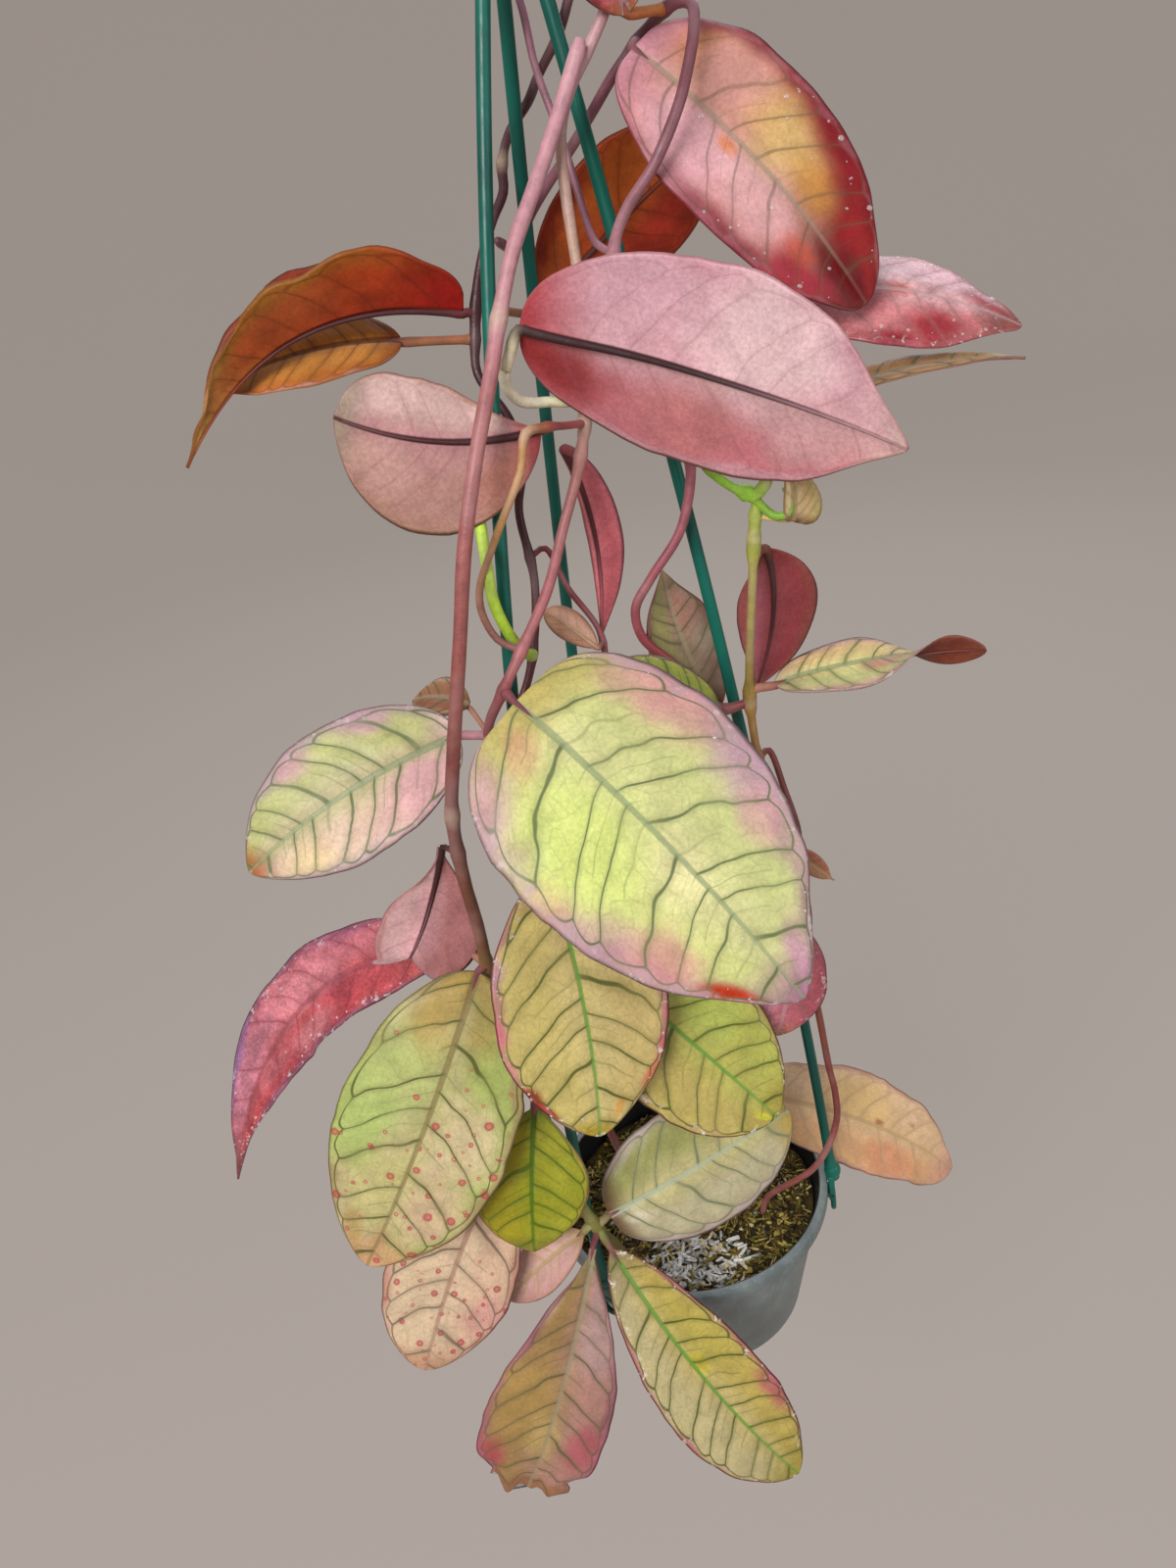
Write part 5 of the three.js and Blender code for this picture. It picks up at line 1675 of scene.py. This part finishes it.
@dataclass
class Plant:
    """The stems and leaves together."""

    vines: Sequence[Vine]
    leaves: Sequence[Leaf]

    def build(self) -> list[Object]:
        """Makes every stem and leaf.

        Returns:
            The finished pieces.
        """
        by_name = {vine.name: vine for vine in self.vines}
        for vine in self.vines:
            vine.run(by_name)
        # The drops are real beads with a real sharp highlight, but their pale, half-opaque colour is a
        # painted glint that makes each one read as a bright spot.
        water = Graph("water").finish(
            Base_Color=rgba("#e6d6d6"), Roughness=0.05, Specular_IOR_Level=1.0, Coat_Weight=1.0, Alpha=0.36,
        )
        stalk_skin = Bark("stalk_skin", rough=0.72, coat=0.0, dusting=0.03).material()
        finishes = {"water": water, "stalk_skin": stalk_skin}
        for one in self.leaves:
            for look in (one.look, one.back):
                if look.name not in finishes:
                    finishes[look.name] = look.material()
        pieces = [one.build(by_name, finishes) for one in self.leaves]
        bark = Bark("stem_bark", rough=0.5, coat=0.05, dusting=0.14).material()
        return pieces + [vine.build(bark) for vine in self.vines]


@dataclass
class Pot:
    """A thin-walled plastic pot with a lip, a foot ring and drain holes, in millimetres."""

    rim: float = 60.0
    height: float = 64.0
    base: float = 45.0
    wall: float = 1.4
    lip_depth: float = 6.0
    lip_width: float = 2.4
    floor: float = 1.6
    recess: float = 1.5
    foot: float = 5.0
    holes: int = 6
    hole: float = 3.5
    circle: float = 27.0

    STEPS = 96
    HOLE_STEPS = 20

    def radius(self, z: float) -> float:
        """Gives the outer wall's radius at a height."""
        top = self.rim - self.lip_width
        return top + (self.base - top) * -z / self.height

    def finish(self) -> Material:
        """Builds the pot's plastic, grey-green outside, with its inside painted near black as painted shade.
        """
        graph = Graph("pot_plastic")
        where = graph.place()
        x, y, _ = graph.split(where)
        out = graph.math("SQRT", graph.plus(graph.times(x, x), graph.times(y, y)))
        # Inside the wall's middle the plastic is painted near black: painted shade for the inside of the
        # pot.
        inner = graph.math("LESS_THAN", out, graph.attribute("inner", "Fac"))
        scuff = graph.noise(where, 0.012, 5.0, 0.65)
        outside = graph.mix(graph.ramp(scuff, 0.35, 0.7), rgba("#5c6664"), rgba("#76807e"))
        drawn = graph.add("ShaderNodeMapping", {0: where, "Scale": (1.0, 1.0, 0.12)})
        streak = graph.ramp(graph.noise(drawn, 0.0016, 3.0), 0.55, 0.75, 0.0, 0.3)
        outside = graph.mix(streak, outside, rgba("#9aa09c"))
        graph.bump(scuff, 0.15, 0.0003)
        return graph.finish(
            Base_Color=graph.mix(inner, outside, rgba("#0c0f10")),
            Roughness=graph.ramp(scuff, 0.3, 0.7, 0.36, 0.52), Specular_IOR_Level=0.5,
        )

    def build(self) -> Object:
        """Makes the pot.

        Returns:
            The finished piece.
        """
        bottom = -self.height
        under = bottom + self.recess
        top = under + self.floor
        heel = self.base - self.foot
        hollow = heel - self.recess
        lip = -self.lip_depth
        below = lip - 8.0
        inside = self.radius(0) - self.wall
        profile = [
            (hollow, under), (heel, bottom + 0.2), (heel + 0.3, bottom), (self.base - 1.0, bottom),
            (self.base - 0.4, bottom + 0.3), (self.radius(bottom + 1.0), bottom + 1.0),
            (self.radius(below), below), (self.radius(lip), lip), (self.rim - 0.6, lip),
            (self.rim - 0.2, lip + 0.2), (self.rim, lip + 0.6), (self.rim, -0.8), (self.rim - 0.25, -0.2),
            (self.rim - 0.8, 0.0), (inside + 0.7, 0.0), (inside + 0.2, -0.2), (inside, -0.8),
            (self.radius(-30.0) - self.wall, -30.0), (self.radius(top) - self.wall, top),
        ]
        bm = bmesh.new()
        spin_profile(bm, profile, self.STEPS)
        self.fill_floor(bm, top, self.radius(top) - self.wall)
        self.fill_floor(bm, under, hollow)
        self.line_holes(bm, top, under)
        bmesh.ops.remove_doubles(bm, verts=bm.verts, dist=0.01)
        bmesh.ops.recalc_face_normals(bm, faces=bm.faces)
        # Marks the inside of the wall and the floor, which the finish paints near black as painted shade.
        inner = bm.verts.layers.float.new("inner")
        for vert in bm.verts:
            middle = (self.radius(vert.co.z) - 0.5 * self.wall) * MM
            vert[inner] = middle if vert.co.z > top - 0.1 else 0.0
        pot = add_piece("flower_pot", bm, [self.finish()], "pot_plastic", ["pot"])
        pot.data.set_sharp_from_angle(angle=math.radians(35))
        return pot

    def hole_centres(self) -> list[Point]:
        """Gives the middles of the drain holes."""
        turns = [2 * math.pi * i / self.holes for i in range(self.holes)]
        return [(self.circle * math.cos(turn), self.circle * math.sin(turn), 0.0) for turn in turns]

    def ring(self, bm: BMesh, centre: Point, radius: float, z: float, steps: int) -> list:
        """Makes a ring of edges at a height and hands them back."""
        place = Matrix.Translation((centre[0], centre[1], z))
        made = bmesh.ops.create_circle(bm, segments=steps, radius=radius, matrix=place)
        return list({edge for vert in made["verts"] for edge in vert.link_edges})

    def fill_floor(self, bm: BMesh, z: float, radius: float) -> None:
        """Makes one face of the floor, with its holes."""
        edges = self.ring(bm, (0.0, 0.0, 0.0), radius, z, self.STEPS)
        for centre in self.hole_centres():
            edges += self.ring(bm, centre, self.hole, z, self.HOLE_STEPS)
        bmesh.ops.triangle_fill(bm, use_beauty=True, edges=edges)

    def line_holes(self, bm: BMesh, top: float, under: float) -> None:
        """Makes the walls of the drain holes."""
        for centre in self.hole_centres():
            upper = self.ring(bm, centre, self.hole, top, self.HOLE_STEPS)
            lower = self.ring(bm, centre, self.hole, under, self.HOLE_STEPS)
            bmesh.ops.bridge_loops(bm, edges=upper + lower)


@dataclass
class PottingMix:
    """Bark, chopped fibre and grit in the pot, in millimetres."""

    pot: Pot
    level: float = -11.0
    clearance: float = 0.5
    heaps: int = 60
    heap: int = 60
    seed: int = 7

    SHADES = (
        "#2c2110", "#403214", "#5c4c20", "#78682c", "#948238", "#a8964c", "#7c5c2c", "#5c5c22", "#b8a878",
        "#989a90",
    )
    WEIGHTS = (6, 7, 8, 8, 7, 4, 5, 5, 2, 1)
    DARK = "#2a1f10"
    MOSS = "#5c4e20"
    GRIT = ("#d4d2c8", "#bcbeb8", "#e0ded4", "#a8aaa2", "#e4e2da", "#c8b890")
    GRIT_PLACE = (-4.0, -38.0)
    GRIT_REACH = 21.0
    EDGE_GAP = 2.5
    SLIVER_SHARE = 0.7
    PALE_SHARE = 0.8

    def finish(self) -> Material:
        """Builds the mix's dull, rough finish over its painted colours."""
        graph = Graph("potting_mix")
        where = graph.place()
        base = graph.attribute("tint", "Color")
        grain = graph.noise(where, 0.0012, 4.0, 0.7)
        base = graph.mix(1.0, base, graph.ramp(grain, 0.25, 0.75, 0.6, 1.25), "MULTIPLY")
        graph.bump(grain, 0.6, 0.0008)
        gloss = graph.ramp(grain, 0.3, 0.7, 0.75, 0.95)
        return graph.finish(Base_Color=base, Roughness=gloss, Specular_IOR_Level=0.25)

    def height(self, x: float, y: float) -> float:
        """Gives the mix's own height under a place."""
        lumps = math.sin(x * 0.33 + 1) * math.cos(y * 0.29) + math.sin((x + y) * 0.21)
        return self.level + 1.1 * lumps + 0.7 * wander(Vector((x, y, 0.0)), 4.0, 2.0)

    def body(self, bm: BMesh) -> None:
        """Makes the lumpy body that the chips lie on."""
        floor = -self.pot.height + self.pot.recess + self.pot.floor + self.clearance
        inner = self.pot.radius(self.level) - self.pot.wall - self.clearance
        low = self.pot.radius(floor) - self.pot.wall - self.clearance
        rings = [(inner * (1 - i / 24), self.level) for i in range(25)]
        spin_profile(bm, [(0.0, floor), (low, floor), (inner - 0.3, self.level - 2.0), *rings], 72)
        bmesh.ops.remove_doubles(bm, verts=bm.verts, dist=0.01)
        bmesh.ops.recalc_face_normals(bm, faces=bm.faces)
        for vert in bm.verts:
            if vert.co.z > self.level - 1.0:
                settle = ease(inner, inner - 3.0, math.hypot(vert.co.x, vert.co.y))
                vert.co.z = self.level + (self.height(vert.co.x, vert.co.y) - self.level) * settle
        dark, moss = colour(self.DARK), colour(self.MOSS)
        tint(bm, bm.faces, lambda loop: dark.lerp(moss, ease(-0.3, 0.4, wander(loop.vert.co, 5.0, 6.0))))

    def sliver(self, bm: BMesh, draw: random.Random, pale: bool) -> tuple[list, Matrix]:
        """Makes a chip of bark or a fibre.

        Args:
            bm: The mesh that it is added to.
            draw: The seeded source of its size.
            pale: Whether it lies among the pale grit.

        Returns:
            Its corners and the turn that lays it down.
        """
        size = draw.uniform(1.4, 2.4) if pale else draw.uniform(0.9, 1.4)
        length = size * draw.uniform(1.6, 5.5)
        thick = size * draw.uniform(0.2, 0.55)
        made = bmesh.ops.create_cone(
            bm, cap_ends=True, segments=5, radius1=thick, radius2=thick * 0.7, depth=length,
        )
        return made["verts"], Matrix.Rotation(math.pi / 2 + draw.uniform(-0.5, 0.5), 4, "X")

    def crumb(self, bm: BMesh, draw: random.Random) -> tuple[list, Matrix]:
        """Makes a rough grain.

        Args:
            bm: The mesh that it is added to.
            draw: The seeded source of its shape.

        Returns:
            Its corners and the stretch that flattens it.
        """
        made = bmesh.ops.create_icosphere(bm, subdivisions=1, radius=1.0)["verts"]
        for vert in made:
            vert.co *= draw.uniform(0.75, 1.2)
        stretch = (draw.uniform(0.6, 1.9), draw.uniform(0.6, 1.4), draw.uniform(0.4, 0.9), 1.0)
        return made, Matrix.Diagonal(stretch)

    def chip(self, bm: BMesh, draw: random.Random) -> None:
        """Lays one chip, fibre or grain of grit on the mix.

        Args:
            bm: The mesh that it is added to.
            draw: The seeded source of its kind, colour and lie.
        """
        inner = self.pot.radius(self.level) - self.pot.wall - self.EDGE_GAP
        reach = inner * math.sqrt(draw.random())
        turn = 2 * math.pi * draw.random()
        x, y = reach * math.cos(turn), reach * math.sin(turn)
        away = math.hypot(x - self.GRIT_PLACE[0], y - self.GRIT_PLACE[1])
        pale = away < self.GRIT_REACH * draw.uniform(0.5, 1.15)
        if draw.random() < self.SLIVER_SHARE:
            made, flat = self.sliver(bm, draw, pale)
        else:
            made, flat = self.crumb(bm, draw)
        spin = Matrix.Rotation(draw.uniform(0, 2 * math.pi), 4, "Z")
        place = Matrix.Translation((x, y, self.height(x, y) + draw.uniform(0.2, 1.3)))
        bmesh.ops.transform(bm, matrix=place @ spin @ flat, verts=made)
        if pale and draw.random() < self.PALE_SHARE:
            shade = colour(draw.choice(self.GRIT))
        else:
            shade = colour(draw.choices(self.SHADES, self.WEIGHTS)[0])
        tint(bm, {face for vert in made for face in vert.link_faces}, lambda loop: shade)

    def build(self) -> Object:
        """Makes the mix.

        Returns:
            The finished piece.
        """
        bm = bmesh.new()
        self.body(bm)
        draw = random.Random(self.seed)
        for _ in range(self.heaps):
            heap = bmesh.new()
            for _ in range(self.heap):
                self.chip(heap, draw)
            pile = bpy.data.meshes.new("pile")
            heap.to_mesh(pile)
            heap.free()
            bm.from_mesh(pile)
            bpy.data.meshes.remove(pile)
        return add_piece("bark_mix", bm, [self.finish()], "potting_mix", ["potting_mix"])


@dataclass
class Hanger:
    """Three moulded strands with clips, and the hub and hook above them, in millimetres."""

    pot: Pot
    strand: float = 2.0
    apex: float = 479.0
    foot: float = 62.4
    top: float = 452.0
    turn: float = -11.4
    hub: float = 8.0
    hook: float = 15.0
    wire: float = 2.6
    seat: float = 0.35
    plate: float = 2.6
    clip_width: float = 7.0
    clip_height: float = 14.0
    toe: float = 3.0
    toe_thickness: float = 2.2
    bead: float = 3.5
    eye_width: float = 6.4
    eye_height: float = 8.4
    eye_wire: float = 1.15
    strands: dict[str, tuple[float, float]] = field(
        default_factory=lambda: {"front_left": (-120.0, 21.8), "back": (120.0, 8.9), "right": (0.0, 6.7)}
    )

    def finish(self) -> Material:
        """Builds the strands' satin blue-green plastic."""
        graph = Graph("hanger_plastic")
        where = graph.place()
        haze = graph.noise(where, 0.03, 3.0)
        drawn = graph.add("ShaderNodeMapping", {0: where, "Scale": (1.0, 1.0, 0.08)})
        flow = graph.noise(drawn, 0.0008, 2.0)
        graph.bump(flow, 0.12, 0.0002)
        return graph.finish(
            Base_Color=graph.mix(graph.ramp(haze, 0.3, 0.7), rgba("#06493f"), rgba("#0a6152")),
            Roughness=graph.ramp(flow, 0.3, 0.7, 0.3, 0.42), Specular_IOR_Level=0.35,
        )

    def strand_point(self, turn: float, bow: float, height: float) -> Vector:
        """Gives a point of a strand's line."""
        share = height / self.apex
        reach = self.foot * (1 - share) + bow * 4 * share * (1 - share)
        angle = math.radians(self.turn + turn)
        return Vector((reach * math.cos(angle), reach * math.sin(angle), height))

    def block(self, bm: BMesh, size: Point, centre: Point, soften: float) -> None:
        """Makes a rounded block.

        Args:
            bm: The mesh that it is added to.
            size: Its three sizes.
            centre: Its middle.
            soften: How far its edges are rounded.
        """
        place = Matrix.Translation(centre) @ Matrix.Diagonal((*size, 1.0))
        made = bmesh.ops.create_cube(bm, size=1.0, matrix=place)
        edges = list({edge for vert in made["verts"] for edge in vert.link_edges})
        bmesh.ops.bevel(bm, geom=edges, offset=soften, affect="EDGES", segments=3, profile=0.5, material=-1)

    def moulded(self, name: str, bm: BMesh, finish: Material, node: str) -> Object:
        """Makes a finished piece of the hanger, with its clear edges left sharp.

        Args:
            name: The piece's name.
            bm: Its mesh.
            finish: Its plastic.
            node: The frame's node that it replaces.

        Returns:
            The finished piece.
        """
        bmesh.ops.recalc_face_normals(bm, faces=bm.faces)
        piece = add_piece(name, bm, [finish], "hanger_plastic", [node])
        piece.data.set_sharp_from_angle(angle=math.radians(50))
        return piece

    def build_strand(self, name: str, finish: Material) -> Object:
        """Makes one strand and the clip that holds the pot's lip.

        Args:
            name: The strand's name.
            finish: Its plastic.

        Returns:
            The finished piece.
        """
        turn, bow = self.strands[name]
        outside = self.pot.rim + self.seat
        middle = outside + self.plate / 2
        toe = self.plate + self.toe
        shelf = -self.pot.lip_depth - self.seat - self.toe_thickness / 2
        bm = bmesh.new()
        self.block(bm, (self.plate, self.clip_width, self.clip_height), (middle, 0.0, -3.5), 0.6)
        self.block(
            bm, (toe, self.clip_width, self.toe_thickness), (outside + self.plate - toe / 2, 0.0, shelf), 0.4
        )
        bead = Matrix.Translation((self.foot, 0.0, 5.0)) @ Matrix.Diagonal((1.0, 1.0, 1.25, 1.0))
        bmesh.ops.create_uvsphere(bm, u_segments=20, v_segments=12, radius=self.bead, matrix=bead)
        centre = Vector((middle + 0.4, 0.0, -12.5))
        turns = [2 * math.pi * i / 32 for i in range(33)]
        eye = [
            centre + Vector((0.0, self.eye_width / 2 * math.cos(a), self.eye_height / 2 * math.sin(a)))
            for a in turns
        ]
        sweep(bm, eye, [self.eye_wire] * len(eye), 12)
        facing = Matrix.Rotation(math.radians(self.turn + turn), 3, "Z")
        bmesh.ops.rotate(bm, verts=bm.verts, cent=(0, 0, 0), matrix=facing)
        path = [self.strand_point(turn, bow, 1 + (self.top - 1) * i / 72) for i in range(73)]
        radii = [self.strand * (1 + 0.5 * ease(18.0, 2.0, point.z)) for point in path]
        sweep(bm, path, radii, 20)
        return self.moulded(f"line_{name}", bm, finish, f"strand_{name}")

    def build_hook(self, finish: Material) -> Object:
        """Makes the hub that gathers the strands and the hook above it.

        Args:
            finish: Their plastic.

        Returns:
            The finished piece.
        """
        low = self.top + 2 * self.seat
        bm = bmesh.new()
        profile = [
            (0.0, low), (self.hub - 0.8, low), (self.hub, low + 0.8), (self.hub, low + 4.5),
            (self.hub - 0.5, low + 5.6), (self.hub - 2.0, low + 8.0), (4.0, low + 24.0),
            (self.wire + 0.6, low + 33.0), (self.wire, low + 34.0), (0.0, low + 34.0),
        ]
        spin_profile(bm, profile, 48)
        bmesh.ops.remove_doubles(bm, verts=bm.verts, dist=0.001)
        centre = HOOK_DROP - self.hook
        bend = self.hook + self.wire
        points = [
            Vector((0.0, 0.0, low + 28.0)), Vector((0.0, 0.0, centre - bend - 8.0)),
            Vector((4.0, 0.0, centre - bend + 1.0)),
        ]
        for turn in (math.radians(angle) for angle in range(-45, 206, 25)):
            points.append(Vector((bend * math.cos(turn), 0.0, centre + bend * math.sin(turn))))
        path = centripetal(points, 1.5)
        radii = [self.wire * ease(-0.8, 2.0, len(path) - 1 - i) for i in range(len(path))]
        sweep(bm, path, radii, 20)
        return self.moulded("hub_and_hook", bm, finish, "hanger_hook")

    def build(self) -> list[Object]:
        """Makes the strands and the hook.

        Returns:
            The finished pieces.
        """
        plastic = self.finish()
        lines = [self.build_strand(name, plastic) for name in self.strands]
        return [*lines, self.build_hook(plastic)]


@dataclass
class Studio:
    """The bare surroundings: a seamless floor, soft lights and the camera, in metres."""

    floor: float = -0.95
    reach: float = 2.6
    bend: float = 1.4
    height: float = 1.9
    tone: str = "#a89e97"
    glow: float = 0.55

    CAMERA = Vector((-0.015, -0.356, -0.142))
    PITCH = 28.6
    ROLL = -9.5
    LENS = 26.19
    AIM = Vector((0.0, 0.0, -0.3))
    LIGHTS = (
        ("key", (-0.8, -1.6, 0.8), 1.0, 40.5, "#fdfbfc"),
        ("fill", (1.5, -1.2, 0.2), 1.6, 12.0, "#eef2ff"),
        ("rear", (0.4, 1.8, 0.9), 1.8, 16.0, "#f6f8ff"),
        ("glint", (-0.3, -0.95, 0.35), 0.1, 1.4, "#ffffff"),
    )
    ROOM_TONE = "#eef2fa"
    ROOM_GLOW = 0.57

    def backdrop(self) -> Object:
        """Makes the floor and the wall that it bends up into, all the way round.

        Returns:
            The stage object.
        """
        bm = bmesh.new()
        turns = [math.radians(angle) for angle in range(0, 91, 10)]
        bend = [
            (self.reach + self.bend * math.sin(a), self.floor + self.bend * (1 - math.cos(a))) for a in turns
        ]
        top = (self.reach + self.bend, self.floor + self.bend + self.height)
        spin_profile(bm, [(0.0, self.floor), *bend, top], 64)
        bmesh.ops.remove_doubles(bm, verts=bm.verts, dist=1e-4)
        graph = Graph("backdrop_paint")
        wash = graph.ramp(graph.noise(graph.place(), 0.9, 2.0), 0.3, 0.7, 0.0, 0.12)
        paint = graph.finish(
            Base_Color=graph.mix(wash, rgba("#7c756f"), rgba("#746d67")), Roughness=0.95,
            Specular_IOR_Level=0.1, Emission_Color=rgba(self.tone), Emission_Strength=self.glow,
        )
        backdrop = make_object("backdrop", bm, [paint])
        backdrop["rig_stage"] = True
        return backdrop

    def light(self, name: str, place: Point, size: float, power: float, tone: str) -> None:
        """Adds a soft square light that looks at the plant.

        Args:
            name: The light's name.
            place: Where it stands.
            size: Its width.
            power: Its strength in watts.
            tone: Its colour.
        """
        lamp = bpy.data.lights.new(name, "AREA")
        lamp.size = size
        lamp.energy = power
        lamp.color = colour(tone)
        holder = bpy.data.objects.new(name, lamp)
        holder.location = place
        aim = self.AIM - Vector(place)
        holder.rotation_euler = aim.to_track_quat("-Z", "Y").to_euler()
        bpy.context.scene.collection.objects.link(holder)

    def camera(self) -> None:
        """Puts the camera where the photograph was taken from."""
        lens = bpy.data.cameras.new("camera")
        lens.lens = self.LENS
        lens.clip_start = 0.01
        holder = bpy.data.objects.new("camera", lens)
        tilt = Matrix.Rotation(math.radians(90.0 - self.PITCH), 4, "X")
        roll = Matrix.Rotation(math.radians(self.ROLL), 4, "Z")
        holder.matrix_world = Matrix.Translation(self.CAMERA) @ tilt @ roll
        bpy.context.scene.collection.objects.link(holder)
        bpy.context.scene.camera = holder

    def build(self) -> None:
        """Sets up the surroundings."""
        self.backdrop()
        for lamp in self.LIGHTS:
            self.light(*lamp)
        self.camera()
        world = bpy.data.worlds.new("room")
        world.use_nodes = True
        glow = world.node_tree.nodes["Background"]
        glow.inputs["Color"].default_value = rgba(self.ROOM_TONE)
        glow.inputs["Strength"].default_value = self.ROOM_GLOW
        bpy.context.scene.world = world
        bpy.context.scene.view_settings.view_transform = "Standard"


def main() -> None:
    """Builds the studio and the object and reports each piece."""
    logging.basicConfig(level=logging.INFO, format="%(name)s: %(message)s")
    Studio().build()
    pot = Pot()
    pieces = [pot.build(), PottingMix(pot).build(), *Hanger(pot).build(), *Plant(VINES, LEAVES).build()]
    for piece in pieces:
        faces = len(piece.data.polygons)
        LOG.info("%s: %d faces, for %s", piece.name, faces, ", ".join(piece["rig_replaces"]))
    boxes = {"cad": cad_box, "visual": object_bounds()}
    {name: [list(corner) for corner in box] for name, box in boxes.items()}


if __name__ == "__main__":
    main()
